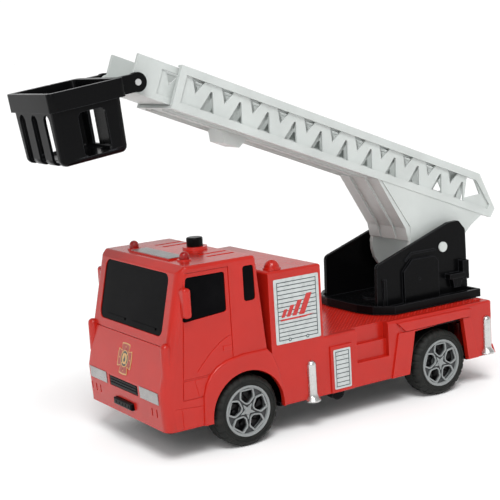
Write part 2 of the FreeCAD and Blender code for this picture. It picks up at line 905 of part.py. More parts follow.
def push_button():
    """The black roof button with a flange below that stops it in the collar."""
    roof = SIZE["cab_height"]
    cap = rounded(rod((0, 0, roof - 3.4), "z", 9.6, 4.35), 0.8, lambda edge: edge.CenterOfMass.z > 103)
    flange = rod((0, 0, roof - 4.4), "z", 1.2, 6.0)
    stem = rod((0, 0, roof - 6.7), "z", 4.0, 1.4)
    return fused(cap, flange, stem)


def button_spring():
    """The light coil spring that stands on the board and lifts the button's flange."""
    wire = 0.25
    coil_radius = 4.1
    foot = number(SIZE["cab_height"]) - 11.8
    spine = Part.makeHelix(1.6, 6.4, coil_radius)
    section = Part.Circle(FreeCAD.Vector(coil_radius, 0, 0), ALONG["y"], wire).toShape()
    spring = doc.addObject("Part::Feature", "coil")
    spring.Shape = Part.Wire(spine).makePipeShell([Part.Wire(section)], True, True)
    spring.Placement = FreeCAD.Placement(FreeCAD.Vector(0, 0, foot + wire + 0.1), FreeCAD.Rotation())
    return spring


# Wheels

def tyre():
    """A soft tyre about its own axle, with round shoulders."""
    half = SIZE["tyre_width"] / 2
    outer = SIZE["tyre_radius"]
    seat = SIZE["rim_radius"]
    ring = turned(
        "x",
        [
            (-half, seat),
            (-half, outer - 2.6),
            (1.0 - half, outer - 0.9),
            (2.6 - half, outer),
            (half - 2.6, outer),
            (half - 1.0, outer - 0.9),
            (half, outer - 2.6),
            (half, seat),
        ],
    )
    return ring


def turned_point(radius, degrees):
    """A point at a radius and an angle."""
    return (radius * math.cos(math.radians(degrees)), radius * math.sin(math.radians(degrees)))


def rim():
    """A five-spoke rim about its own axle, its open side facing -X and its face +X."""
    half = SIZE["tyre_width"] / 2
    seat = SIZE["rim_radius"]
    barrel = turned("x", [(-half, seat - 1.4), (-half, seat), (half, seat), (half, seat - 1.4)])
    disc = rod((half - 2.6, 0, 0), "x", 1.8, seat - 1.0)
    hub = rod((-half, 0, 0), "x", half * 2 - 1.0, 3.4)
    cap = rod((half - 1.2, 0, 0), "x", 0.9, 2.2)
    windows = []
    ridges = []
    for index in range(5):
        turn = 72 * index + 90
        opening = [
            turned_point(4.6, turn),
            turned_point(7.2, turn + 27),
            turned_point(11.2, turn + 20),
            turned_point(11.2, turn - 20),
            turned_point(7.2, turn - 27),
        ]
        rim_of = [
            turned_point(3.6, turn),
            turned_point(7.1, turn + 33),
            turned_point(12.0, turn + 24),
            turned_point(12.0, turn - 24),
            turned_point(7.1, turn - 33),
        ]
        windows.append(prism("x", half - 4, half + 1, opening))
        ridges.append(prism("x", half - 1.0, half - 0.4, rim_of))
    bore = rod((-half - 1, 0, 0), "x", half * 2 - 2.0, SIZE["axle_radius"])
    return cut(fused(barrel, disc, hub, cap, *ridges), *windows, bore)


def axle():
    """A steel rod about its own middle."""
    half = SIZE["half_width"] - 3.0
    return rod((-half, 0, 0), "x", half * 2, SIZE["axle_radius"])


# Friction drive

GEAR_TEETH = 24
PINION_TEETH = 10
PRESSURE_ANGLE = math.radians(25)
IDLER_DIRECTION = 135.0
FLYWHEEL_DIRECTION = 190.0


def half_tooth(teeth, radius):
    """Half the angle a tooth covers at a radius, on true involute flanks with play between teeth."""
    module = number(SIZE["gear_module"])
    pitch = module * teeth / 2
    base = pitch * math.cos(PRESSURE_ANGLE)
    play = 0.07
    at_pitch = math.pi / (2 * teeth) + math.tan(PRESSURE_ANGLE) - PRESSURE_ANGLE - play / pitch
    lean = math.acos(min(1.0, base / radius))
    return at_pitch - (math.tan(lean) - lean)


def gear_loop(teeth, first_tooth):
    """A gear's outline in the plane of Y and Z, one tooth pointing along an angle in degrees."""
    module = number(SIZE["gear_module"])
    pitch = module * teeth / 2
    root = pitch - 1.1 * module
    tip = pitch + 0.8 * module
    flank = [max(root, pitch * math.cos(PRESSURE_ANGLE)), pitch, tip]
    loop = []
    for index in range(teeth):
        middle = first_tooth + 360.0 * index / teeth
        rising = [(radius, -half_tooth(teeth, radius)) for radius in flank]
        falling = [(radius, -turn) for radius, turn in reversed(rising)]
        start = [(root, rising[0][1])] if flank[0] > root + 0.01 else []
        end = [(root, falling[-1][1])] if start else []
        for radius, turn in start + rising + falling + end:
            loop.append(turned_point(radius, middle + math.degrees(turn)))
    return loop


def gear(teeth, start, end, first_tooth):
    """A gear pushed out along X about its own axis."""
    wire = Part.makePolygon(
        [
            FreeCAD.Vector(number(start), y, z)
            for y, z in gear_loop(teeth, first_tooth) + gear_loop(teeth, first_tooth)[:1]
        ]
    )
    solid = doc.addObject("Part::Feature", "gear")
    solid.Shape = Part.Face(wire).extrude(FreeCAD.Vector(number(end) - number(start), 0, 0))
    return solid


def gear_centres():
    """How far the compound gear and the flywheel sit from the rear axle, in Y and Z."""
    spacing = SIZE["gear_module"] * ((GEAR_TEETH + PINION_TEETH) / 2)
    idler = [spacing * part for part in turned_point(1, IDLER_DIRECTION)]
    step = [spacing * part for part in turned_point(1, FLYWHEEL_DIRECTION)]
    return idler, [idler[0] + step[0], idler[1] + step[1]]


def facing_gap(teeth, direction):
    """The angle of a tooth beside the gap that meets a neighbour's tooth."""
    return direction + 180 + 180.0 / teeth


def axle_gear():
    """The gear pressed on the rear axle."""
    return cut(
        fused(gear(GEAR_TEETH, -2.0, 2.0, IDLER_DIRECTION), rod((-2.0, 0, 0), "x", 6.0, 3.2)),
        rod((-5, 0, 0), "x", 15, SIZE["axle_radius"]),
    )


def compound_gear():
    """The middle gear: a pinion driven by the axle gear beside a large gear, on its own stub shaft."""
    return fused(
        gear(PINION_TEETH, -2.4, 2.4, facing_gap(PINION_TEETH, IDLER_DIRECTION)),
        gear(GEAR_TEETH, -5.6, -2.4, FLYWHEEL_DIRECTION),
        rod((-10.2, 0, 0), "x", 20.4, 1.0),
    )


def flywheel():
    """The steel flywheel with the last pinion and its stub shaft."""
    return fused(
        gear(PINION_TEETH, -6.0, -2.0, facing_gap(PINION_TEETH, FLYWHEEL_DIRECTION)),
        rod((2.9, 0, 0), "x", 5.2, 8.3),
        rod((-2.0, 0, 0), "x", 5.0, 2.0),
        rod((-10.2, 0, 0), "x", 20.4, 1.0),
    )


def drive_case():
    """One half of the friction drive's case, from the middle plane out along +X."""
    low_y, high_y = -29.5, 10.5
    low_z, high_z = -10.0, 18.0
    depth = 11.0
    outer = block((0.1, low_y, low_z), (depth, high_y, high_z))
    inner = block((-1, low_y + 1.2, low_z + 1.2), (depth - 1.2, high_y - 1.2, high_z - 1.2))
    idler, wheel = gear_centres()
    play = SIZE["running_gap"]
    bores = [
        rod((0, 0, 0), "x", 15, SIZE["axle_radius"] + play),
        rod((0, idler[0], idler[1]), "x", 10.4, 1.0 + play),
        rod((0, wheel[0], wheel[1]), "x", 10.4, 1.0 + play),
    ]
    soft = rounded(outer, 2.0, lambda edge: runs(edge, "x"))
    foot_low = -0.5
    feet = [block((depth - 1, y, foot_low), (depth + 5.5, y + 6.0, foot_low + 1.8)) for y in (-28.0, 3.5)]
    return cut(fused(soft, *feet), inner, *bores)


# Turntable

def turntable():
    """The black turntable: a lipped tray, two panelled side walls, a seat, and a hub through the bed."""
    bed = SIZE["bed_height"]
    low = bed + 0.6
    floor = low + 3.0
    swing = SIZE["swing_y"]
    ahead = [
        (-34.0, 170.3),
        (34.0, 170.3),
        (34.0, 106.0),
        (25.0, 97.2),
        (14.0, 94.4),
        (-14.0, 94.4),
        (-25.0, 97.2),
        (-34.0, 106.0),
    ]
    within = [(x * 0.955, 168.9 if y > 160 else y + 1.4) for x, y in ahead]
    tray = cut(prism("z", low, floor + 1.6, ahead), prism("z", floor, floor + 3, within))
    side_loop = [
        (100.6, floor - 1),
        (101.4, 76.3),
        (155.0, 94.0),
        (163.0, 94.4),
        (168.0, 88.5),
        (168.6, floor - 1),
    ]

    def is_wall_corner(edge):
        return runs(edge, "x") and edge.CenterOfMass.z > 60

    wall = rounded(prism("x", 22.8, 25.0, side_loop), 3.0, is_wall_corner)
    panel = prism(
        "x",
        24.5,
        27.0,
        [(119.3, floor), (119.3, 70.5), (125.5, 76.6), (142.0, 76.6), (145.0, 73.6), (145.0, floor)],
    )
    panel_ridge = prism(
        "x",
        24.5,
        25.8,
        [(121.0, 76.5), (126.0, 80.6), (143.5, 80.6), (144.5, 79.4), (126.4, 79.4), (121.8, 75.6)],
    )
    front_rib = block((24.5, 105.0, floor), (26.2, 107.0, 68.0))
    seat_back = block((24.5, 162.0, 60.0), (29.0, 166.5, 71.0))
    seat_pad = block((24.5, 151.5, 61.5), (29.5, 163.0, 64.3))
    seat_leg = prism("x", 24.5, 28.5, [(155.5, 56.0), (154.0, 62.0), (162.5, 62.0), (160.0, 56.0)])
    hub = rod((0, swing, bed - 2.2), "z", low - bed + 3.2, SIZE["hub_radius"])
    floor_boss = rod((0, swing - 12, floor - 1), "z", 2.0, 9.0)
    rear_wall = block((-23.5, 166.0, floor - 1), (23.5, 168.0, 60.0))
    solid = fused(
        tray, hub, floor_boss, rear_wall,
        *both_sides(fused(wall, panel, panel_ridge, front_rib, seat_back, seat_pad, seat_leg)),
    )
    pin_hole = rod((-40, SIZE["pivot_y"], SIZE["pivot_height"]), "x", 80, 2.9 + SIZE["running_gap"])
    dimple = both_sides(rod((26.6, 130.5, 65.0), "x", 3, 0.8))
    screw_pilot = rod((0, swing, bed - 5), "z", 8, 1.2)
    return cut(solid, pin_hole, *dimple, screw_pilot)


def turntable_washer():
    """The disc under the bed that holds the turntable down."""
    top = SIZE["bed_height"] - 2.2
    return cut(
        rod((0, SIZE["swing_y"], top - 1.5), "z", 1.5, 15.0),
        rod((0, SIZE["swing_y"], top - 3), "z", 5, 1.35),
    )


# Ladder, drawn level with the pivot at its origin and the tip towards -Y

def lattice(first, count, low, high, half, tip_drop=0):
    """The triangular openings of a side lattice, through both sides, between two rails."""
    pitch = SIZE["lattice_pitch"]
    height = high - low
    loops = []
    for index in range(count):
        middle = first + pitch * index
        down = 3.9
        loops.append([(middle - down, high), (middle + down, high), (middle, high - height * 0.52)])
        beside = middle + pitch / 2
        loops.append(
            [
                (beside - 4.3, low),
                (beside + 4.3, low),
                (beside + 0.6, low + height * 0.74),
                (beside - 0.6, low + height * 0.74),
            ]
        )
    return prism("x", -half - 5, half + 5, *loops)


def outer_ladder():
    """The white lower ladder: side lattices, a ribbed floor, lips, a rest foot and the pivot bracket."""
    half = SIZE["ladder_half"]
    low = SIZE["ladder_low"]
    high = low + SIZE["ladder_deep"]
    front = -SIZE["ladder_reach"]
    rail = 4.2
    back_top = 20.6
    back_low = 39.2
    frame_loop = [
        (front, low),
        (front, high),
        (back_top, high),
        (back_low, low + 6.0),
        (back_low - 1.5, low),
    ]
    recess_loop = [
        (front + 4.0, low + rail),
        (front + 4.0, high - rail),
        (back_top - 1.5, high - rail),
        (back_low - 5.0, low + rail + 3.0),
        (back_low - 5.5, low + rail),
    ]
    side = prism("x", half - 2.4, half, frame_loop)
    recess = prism("x", half - 1.2, half + 1, recess_loop)
    side_frame = cut(side, recess)
    cells = 11
    openings = lattice(front + 11.8, cells, low + rail, high - rail, half)
    last_opening = prism(
        "x", -half - 5, half + 5, [
            (12.5, high - rail),
            (19.0, high - rail),
            (26.0, high - rail - 7),
            (14.5, low + rail + 2.0),
        ]
    )
    floor = block((2.4 - half, front, low), (half - 2.4, 34.0, low + 1.5))
    ribs = [block((x - 0.5, front + 2, low - 0.8), (x + 0.5, -56, low + 0.5)) for x in (-12, -6, 6, 12)]
    lip = prism(
        "x",
        half - 4.2,
        half - 1.0,
        [(front, high - 1.1), (front, high), (back_top, high), (back_top, high - 1.1)],
    )
    foot = prism(
        "x",
        -7.0,
        7.0,
        [(-153.2, low + 0.5), (-149.5, low - 6.4), (-139.5, low - 6.4), (-135.5, low + 0.5)],
    )
    curve = [turned_point(19.0, angle) for angle in range(180, 361, 15)]
    plate_loop = [(-50.4, low + 0.5), (-21.0, 6.0), *curve, (19.5, 9.0), (24.0, 18.0), (31.0, low + 0.5)]
    plate = prism("x", half - 2.8, half - 0.4, plate_loop)
    front_web = prism(
        "x", 1.0 - half, half - 1.0, [
            (-53.0, low + 0.5),
            (-24.0, 4.5),
            (-19.8, -2.0),
            (-17.6, -2.0),
            (-21.0, 6.0),
            (-47.0, low + 0.5),
        ]
    )
    web_ridges = [
        prism(
            "x",
            x - 0.7,
            x + 0.7,
            [(-55.5, low + 0.5), (-25.5, 4.0), (-21.0, -2.0), (-19.0, -1.5), (-46.0, low + 0.5)],
        )
        for x in (-7.0, 7.0)
    ]
    spacer = rod((half - 1.0, 0, 0), "x", 22.4 - (half - 1.0), 5.2)
    pin = rod((half - 1.0, 0, 0), "x", 26.0 - (half - 1.0), 2.9)
    bare = fused(*both_sides(side_frame), floor, *ribs, *both_sides(lip), foot)
    bracket = fused(*both_sides(plate), front_web, *web_ridges, *both_sides(spacer), *both_sides(pin))
    return fused(cut(bare, openings, last_opening), bracket)


def inner_ladder():
    """The white upper ladder that slides in the outer one, with rungs on its floor and a solid tip."""
    half = SIZE["fly_half"]
    low = SIZE["ladder_low"] + 1.9
    high = SIZE["ladder_low"] + SIZE["ladder_deep"] - 1.5
    front = -SIZE["fly_reach"]
    back = SIZE["fly_back"]
    rail = 3.4
    side = block((half - 1.8, front, low), (half, back, high))
    recess = block((half - 0.8, front + 15.0, low + rail), (half + 1, back - 4, high - rail))
    side_frame = cut(side, recess)
    openings = lattice(front + 17.1 + 4.0, 11, low + rail, high - rail, half)
    floor = block((1.8 - half, front, low), (half - 1.8, back, low + 1.4))
    rungs = [
        block(
            (1.8 - half, front + 9.0 + 18.0 * index, low + 1.0),
            (half - 1.8, front + 11.2 + 18.0 * index, low + 3.4),
        )
        for index in range(12)
    ]
    pin_lug = rod((half - 1.8, -SIZE["basket_pin_reach"], SIZE["basket_pin_rise"]), "x", 1.8, 4.0)
    solid = fused(cut(fused(*both_sides(side_frame), floor), openings), *rungs, *both_sides(pin_lug))
    pin_hole = rod(
        (-30, -SIZE["basket_pin_reach"], SIZE["basket_pin_rise"]),
        "x",
        60,
        1.6 + SIZE["running_gap"],
    )
    return cut(solid, pin_hole)


# Basket, drawn level with its pins at the origin

def basket():
    """The black basket: a deep collar, a tapering tub with slots, and two ears for the pins."""
    half = SIZE["basket_half"]
    front, back = -50.6, -10.2
    high, low = 4.6, -4.5
    bottom = -31.0
    thick = 1.4
    collar = rounded(block((-half, front, low), (half, back, high)), 3.0, lambda edge: runs(edge, "z"))

    def tub(inset):
        """The tub's tapering block, moved inwards by an inset."""
        side_view = prism(
            "x", -half, half,
            [
                (front + 1.3 + inset, high + inset * 4),
                (back - 2.2 - inset, high + inset * 4),
                (back - 3.2 - inset, bottom + inset),
                (front + 1.6 + inset, bottom + inset),
            ],
        )
        end_view = prism(
            "y", -60, 0,
            [
                (1.2 - half + inset, high + inset * 4),
                (half - 1.2 - inset, high + inset * 4),
                (half - 3.0 - inset, bottom + inset),
                (3.0 - half + inset, bottom + inset),
            ],
        )
        return rounded(
            shared(side_view, end_view), 3.4 - inset,
            lambda edge: not (edge.CenterOfMass.z > number(high) - 0.5),
        )

    solid = fused(collar, tub(0))
    slots = []
    for x in (-14.6, 0.0, 14.6):
        slots.append(block((x - 3.4, front - 1, bottom - 1), (x + 3.4, front + 8.0, low - 4.6)))
        slots.append(rod((x, front - 1, low - 4.6), "y", 8, 3.4))
    for x in (-10.4, 10.4):
        slots.append(block((x - 3.6, back - 8, bottom + 3.0), (x + 3.6, back, low - 6.0)))
        slots.append(rod((x, back - 8, low - 6.0), "y", 8, 3.6))
    side_window = prism(
        "x",
        -half - 1,
        half + 1,
        [(-37.0, bottom + 2.6), (-37.0, low - 2.6), (-22.5, low - 2.6), (-22.5, bottom + 2.6)],
    )
    hollow = cut(solid, tub(thick), *slots, rounded(side_window, 2.5, lambda edge: runs(edge, "x")))
    ear = fused(
        block((16.0, back - 1.5, low), (19.4, 0.0, 4.4)),
        rod((16.0, 0, 0), "x", 3.4, 4.9),
    )
    trimmed = cut(ear, block((10, -0.01, -9), (30, 9, -4.9)))
    return cut(fused(hollow, *both_sides(trimmed)), rod((-30, 0, 0), "x", 60, 1.6))


def basket_pins():
    """The two short pins that carry the basket in the inner ladder's tip."""
    pin = fused(rod((12.4, 0, 0), "x", 7.4, 1.6))
    return grouped(*both_sides(pin))


# Assembly

def truck_point(x, y, z):
    """A place measured from the front axle along the truck, in the shared frame."""
    return (x, SIZE["front_axle_y"] + y, z)


def ladder_point(reach, rise):
    """A place on the ladder, in the shared frame, from its reach ahead of the pivot and its rise."""
    slope = math.radians(number(SIZE["ladder_angle"]))
    along = reach * -math.cos(slope) + rise * math.sin(slope)
    up = reach * math.sin(slope) + rise * math.cos(slope)
    return truck_point(0, SIZE["pivot_y"] + along, SIZE["pivot_height"] + up)


def build():
    """Makes every sub-part and puts it in place."""
    side = SIZE["half_width"]
    node("cab_shell", cab_shell())
    node("windscreen", windscreen())
    glazing = side_glazing()
    node("side_glazing_left", glazing)
    node("side_glazing_right", mirrored(glazing))
    node("front_grille", front_grille())
    node("bumper_block", bumper_block())
    lamp_foil = headlight()
    node("headlight_left", lamp_foil)
    node("headlight_right", mirrored(lamp_foil))
    node("front_badge", front_badge())
    node("roof_panel", roof_panel())
    node("body_shell", body_shell())
    big_label = slatted_label((side + 0.02, 19.1, 49.4), (side + 0.3, 47.3, 83.5), 13, (25.0, 41.0))
    node("shutter_label_left", big_label)
    node("shutter_label_right", mirrored(big_label))
    small_label = slatted_label((side + 1.22, 53.9, 18.9), (side + 1.5, 65.1, 40.5), 8, ())
    node("locker_label_left", small_label)
    node("locker_label_right", mirrored(small_label))
    leg = outrigger()
    for name, distance, height in (("front", 40.0, 15.6), ("rear", SIZE["tail"] - 4.6, 18.0)):
        node("outrigger_%s_left" % name, leg, truck_point(side + 0.02, distance, height))
        node("outrigger_%s_right" % name, mirrored(leg), truck_point(-side - 0.02, distance, height))
    node("chassis_base", chassis_base())
    node("chassis_screws", grouped(*[pan_screw(x, y, 17.0, 2.0, 0.9, 8.0) for x, y in SCREW_SPOTS]))
    node("battery_cells", battery_cells())
    node("battery_cover", battery_cover())
    node("battery_cover_screw", pan_screw(0, LID_SCREW_Y, 16.0, 1.8, 0.9, 5.0))
    node("speaker", speaker())
    node("circuit_board", circuit_board())
    node("beacon_left", lamp(), truck_point(27, -22, 0))
    node("beacon_right", lamp(), truck_point(-27, -22, 0))
    node("push_button", push_button())
    node("button_spring", button_spring())
    wheel_x = side - SIZE["tyre_width"] / 2
    for name, distance in (("front", 0), ("rear", SIZE["wheelbase"])):
        hub = truck_point(0, distance, SIZE["tyre_radius"])
        node("%s_axle" % name, axle(), hub)
        for sign, word in ((1, "left"), (-1, "right")):
            place = (wheel_x * sign, hub[1], hub[2])
            node("%s_tyre_%s" % (name, word), tyre(), place)
            face = rim()
            node("%s_rim_%s" % (name, word), face if sign > 0 else mirrored(face), place)
    rear = truck_point(0, SIZE["wheelbase"], SIZE["tyre_radius"])
    idler, wheel = gear_centres()
    node("axle_gear", axle_gear(), rear)
    node("compound_gear", compound_gear(), (0, rear[1] + idler[0], rear[2] + idler[1]))
    node("flywheel", flywheel(), (0, rear[1] + wheel[0], rear[2] + wheel[1]))
    case = drive_case()
    node("drive_case_left", case, rear)
    node("drive_case_right", mirrored(case), rear)
    node("turntable", turntable())
    node("turntable_washer", turntable_washer())
    node("turntable_screw", pan_screw(0, SIZE["swing_y"], SIZE["bed_height"] - 3.7, 3.0, 1.2, 5.0))
    slope = -number(SIZE["ladder_angle"])
    node("outer_ladder", outer_ladder(), ladder_point(0, 0), slope)
    node("inner_ladder", inner_ladder(), ladder_point(0, 0), slope)
    pins = ladder_point(SIZE["basket_pin_reach"], SIZE["basket_pin_rise"])
    node("basket", basket(), pins, number(SIZE["basket_tilt"]))
    node("basket_pins", basket_pins(), pins, number(SIZE["basket_tilt"]))


def check_and_export():
    """Stops on any broken object, then writes one file per sub-part."""
    doc.recompute()
    for thing in doc.Objects:
        if "Invalid" in thing.State or "Error" in thing.State:
            raise RuntimeError("%s (%s) is %s" % (thing.Name, thing.Label, thing.State))
    os.makedirs("parts", exist_ok=True)
    for thing in NODES:
        if thing.Shape.isNull() or not thing.Shape.isValid():
            raise RuntimeError(thing.Label + " has no valid shape")
        thing.Shape.exportStep("parts/%s.step" % thing.Label)
        box = thing.Shape.BoundBox
        print("%-22s solids %2d volume %9.1f  x %7.2f %7.2f  y %7.2f %7.2f  z %7.2f %7.2f" % (
            thing.Label, len(thing.Shape.Solids), thing.Shape.Volume,
            box.XMin, box.XMax, box.YMin, box.YMax, box.ZMin, box.ZMax,
        ))


build()
check_and_export()
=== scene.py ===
import json
import math

import bmesh
import bpy
from mathutils import Matrix, Vector
from mathutils.geometry import tessellate_polygon


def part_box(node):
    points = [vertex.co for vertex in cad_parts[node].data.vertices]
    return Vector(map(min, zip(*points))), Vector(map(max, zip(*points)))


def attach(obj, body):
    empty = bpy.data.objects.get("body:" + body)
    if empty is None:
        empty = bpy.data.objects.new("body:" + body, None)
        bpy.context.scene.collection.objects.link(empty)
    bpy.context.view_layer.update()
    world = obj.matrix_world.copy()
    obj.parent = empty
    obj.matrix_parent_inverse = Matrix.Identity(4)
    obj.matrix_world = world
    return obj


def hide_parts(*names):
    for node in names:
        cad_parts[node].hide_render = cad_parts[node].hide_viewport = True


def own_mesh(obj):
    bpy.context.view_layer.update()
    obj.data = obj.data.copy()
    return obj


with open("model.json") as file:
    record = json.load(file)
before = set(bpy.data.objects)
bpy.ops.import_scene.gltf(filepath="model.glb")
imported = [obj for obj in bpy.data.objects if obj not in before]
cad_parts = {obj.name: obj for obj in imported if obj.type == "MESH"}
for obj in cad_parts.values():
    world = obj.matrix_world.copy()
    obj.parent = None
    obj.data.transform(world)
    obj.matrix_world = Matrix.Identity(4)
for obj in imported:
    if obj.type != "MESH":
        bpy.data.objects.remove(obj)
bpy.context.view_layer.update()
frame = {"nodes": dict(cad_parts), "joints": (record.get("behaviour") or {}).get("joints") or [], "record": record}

# The looks of a toy fire engine. Detailed wheels, stickers, badge, support legs and button spring stand
# for the plain CAD ones, and every other CAD node gets its material where it is.
# The outlines of wheels, legs, stickers and badge are in millimetres, and place functions turn them into
# metres in the row frame.

MM = 0.001
NODES = frame["nodes"]
SLOT_OF = {row["node"]: row["material_slot"] for row in frame["record"]["subparts"]}
SIDES = (("left", 1), ("right", -1))


# Material helpers

# Most of a noise texture's values lie between these two.
NOISE_LOW = 0.3
NOISE_HIGH = 0.7


class Shader:
    """A node material under construction, with short calls for the nodes that repeat."""

    def __init__(self, name):
        self.material = bpy.data.materials.new(name)
        self.material.use_nodes = True
        self.tree = self.material.node_tree
        self.surface = self.tree.nodes["Principled BSDF"]
        self.place = self.tree.nodes.new("ShaderNodeTexCoord").outputs["Object"]

    def add(self, kind, **settings):
        """A new node with its settings."""
        node = self.tree.nodes.new(kind)
        for key, value in settings.items():
            setattr(node, key, value)
        return node

    def link(self, source, target):
        """A wire from an output to an input."""
        self.tree.links.new(source, target)

    def noise(self, scale, detail=2.0, roughness=0.5, stretch=None):
        """Noise in object space; scale is cells per metre."""
        node = self.add("ShaderNodeTexNoise")
        node.inputs["Scale"].default_value = scale
        node.inputs["Detail"].default_value = detail
        node.inputs["Roughness"].default_value = roughness
        place = self.place
        if stretch:
            mapping = self.add("ShaderNodeMapping")
            mapping.inputs["Scale"].default_value = stretch
            self.link(place, mapping.inputs["Vector"])
            place = mapping.outputs["Vector"]
        self.link(place, node.inputs["Vector"])
        return node.outputs["Fac"]

    def spread(self, value, low, high, out_low=0.0, out_high=1.0):
        """A value stretched from one range to another."""
        node = self.add("ShaderNodeMapRange")
        for key, number in (
            ("From Min", low),
            ("From Max", high),
            ("To Min", out_low),
            ("To Max", out_high),
        ):
            node.inputs[key].default_value = number
        self.link(value, node.inputs["Value"])
        return node.outputs["Result"]

    def mixed(self, share, first, second):
        """Two colours mixed by a share."""
        node = self.add("ShaderNodeMix", data_type="RGBA")
        self.link(share, node.inputs["Factor"])
        for socket, colour in ((node.inputs[6], first), (node.inputs[7], second)):
            if isinstance(colour, tuple):
                socket.default_value = (*colour, 1.0)
            else:
                self.link(colour, socket)
        return node.outputs[2]

    def edges(self, radius, low, high):
        """How close a point is to a sharp edge, from 0 to 1."""
        bevel = self.add("ShaderNodeBevel", samples=4)
        bevel.inputs["Radius"].default_value = radius
        geometry = self.add("ShaderNodeNewGeometry")
        product = self.add("ShaderNodeVectorMath", operation="DOT_PRODUCT")
        self.link(bevel.outputs["Normal"], product.inputs[0])
        self.link(geometry.outputs["Normal"], product.inputs[1])
        return self.spread(product.outputs["Value"], high, low)

    def bump(self, *layers):
        """Bumps stacked from (height, strength, distance) layers, wired to the surface."""
        normal = None
        for height, strength, distance in layers:
            node = self.add("ShaderNodeBump")
            node.inputs["Strength"].default_value = strength
            node.inputs["Distance"].default_value = distance
            self.link(height, node.inputs["Height"])
            if normal is not None:
                self.link(normal, node.inputs["Normal"])
            normal = node.outputs["Normal"]
        self.link(normal, self.surface.inputs["Normal"])

    def paint(self, noise, first, second, low=NOISE_LOW, high=NOISE_HIGH):
        """A base colour mixed from two colours by a noise, over a range of its values."""
        mixture = self.mixed(self.spread(noise, low, high), first, second)
        self.link(mixture, self.surface.inputs["Base Color"])

    def polish(self, noise, smooth, rough, low=NOISE_LOW, high=NOISE_HIGH):
        """A roughness that goes from smooth to rough with a noise, over a range of its values."""
        self.link(self.spread(noise, low, high, smooth, rough), self.surface.inputs["Roughness"])

    def set(self, **values):
        """Constant values on the surface's own sockets."""
        for key, value in values.items():
            self.surface.inputs[key.replace("_", " ")].default_value = value


def shade(colour, factor):
    """A colour made lighter or darker."""
    return tuple(min(1.0, part * factor) for part in colour)


def moulded_plastic(name, colour, roughness, grain=0.06, edge_sheen_and_wear=1.25, specular=0.5):
    """Injection-moulded plastic: faint cloudy colour, fine grain, soft flow waves, and sharp edges painted paler
    for light wear and a painted highlight.
    """
    shader = Shader(name)
    cloud = shader.spread(shader.noise(45.0, 3.0), NOISE_LOW, NOISE_HIGH)
    base = shader.mixed(cloud, shade(colour, 0.93), shade(colour, 1.06))
    # Sharp edges get a paler colour: a little of it is light wear, most of it a painted highlight where the edges
    # would catch the light.
    edge = shader.edges(radius=0.45 * MM, low=0.80, high=0.99)
    sheened_and_worn = shader.mixed(edge, base, shade(colour, edge_sheen_and_wear))
    shader.link(sheened_and_worn, shader.surface.inputs["Base Color"])
    smear = shader.noise(90.0, 4.0, 0.6)
    shader.polish(smear, roughness * 0.9, roughness * 1.15)
    wave = shader.noise(60.0, 1.0)
    fine = shader.noise(3800.0, 2.0)
    shader.bump((wave, 0.08, 0.6 * MM), (fine, grain, 0.08 * MM))
    shader.set(Specular_IOR_Level=specular)
    return shader.material


def dark_gloss(name):
    """Smooth black screen: near-black with faint smears in its gloss."""
    shader = Shader(name)
    cloud = shader.noise(60.0, 3.0)
    shader.paint(cloud, (0.0016, 0.0016, 0.002), (0.004, 0.004, 0.0045), low=0.35)
    smear = shader.noise(90.0, 4.0, 0.6, (0.4, 1.0, 2.0))
    shader.polish(smear, 0.12, 0.26, high=0.75)
    wave = shader.noise(40.0, 1.0)
    shader.bump((wave, 0.10, 0.6 * MM))
    shader.set(Specular_IOR_Level=0.025)
    return shader.material


def rubber(name):
    """Soft tyre plastic: dark, dusty on its high spots, finely pitted."""
    shader = Shader(name)
    dust = shader.noise(160.0, 5.0, 0.6)
    shader.paint(dust, (0.008, 0.0088, 0.008), (0.021, 0.0225, 0.020), low=0.4, high=0.75)
    shader.polish(dust, 0.5, 0.72)
    pits = shader.noise(2600.0, 3.0)
    shader.bump((pits, 0.25, 0.1 * MM), (dust, 0.15, 0.2 * MM))
    shader.set(Specular_IOR_Level=0.2)
    return shader.material


def bright_metal(name, colour, smooth, rough, stretch):
    """Metal with drawn lines and patches of duller finish."""
    shader = Shader(name)
    lines = shader.noise(700.0, 3.0, 0.6, stretch)
    patch = shader.noise(120.0, 3.0)
    shader.paint(patch, shade(colour, 0.86), shade(colour, 1.05))
    shader.polish(lines, smooth, rough)
    shader.bump((lines, 0.08, 0.06 * MM), (patch, 0.10, 0.2 * MM))
    shader.set(Metallic=1.0)
    return shader.material


def printed(name, colour, roughness):
    """Glossy sticker print with a faint film texture."""
    shader = Shader(name)
    cloud = shader.noise(300.0, 3.0)
    shader.paint(cloud, shade(colour, 0.92), shade(colour, 1.05), low=0.35)
    shader.polish(cloud, roughness * 0.8, roughness * 1.25)
    film = shader.noise(900.0, 2.0)
    shader.bump((film, 0.05, 0.05 * MM))
    return shader.material


def lamp_plastic(name):
    """Clear red beacon plastic that lets some light through."""
    shader = Shader(name)
    cloud = shader.noise(500.0, 2.0)
    shader.paint(cloud, (0.30, 0.004, 0.004), (0.42, 0.008, 0.006))
    shader.polish(cloud, 0.08, 0.2)
    wave = shader.noise(220.0, 1.0)
    shader.bump((wave, 0.08, 0.2 * MM))
    shader.set(Transmission_Weight=0.3, IOR=1.49, Specular_IOR_Level=0.4)
    return shader.material
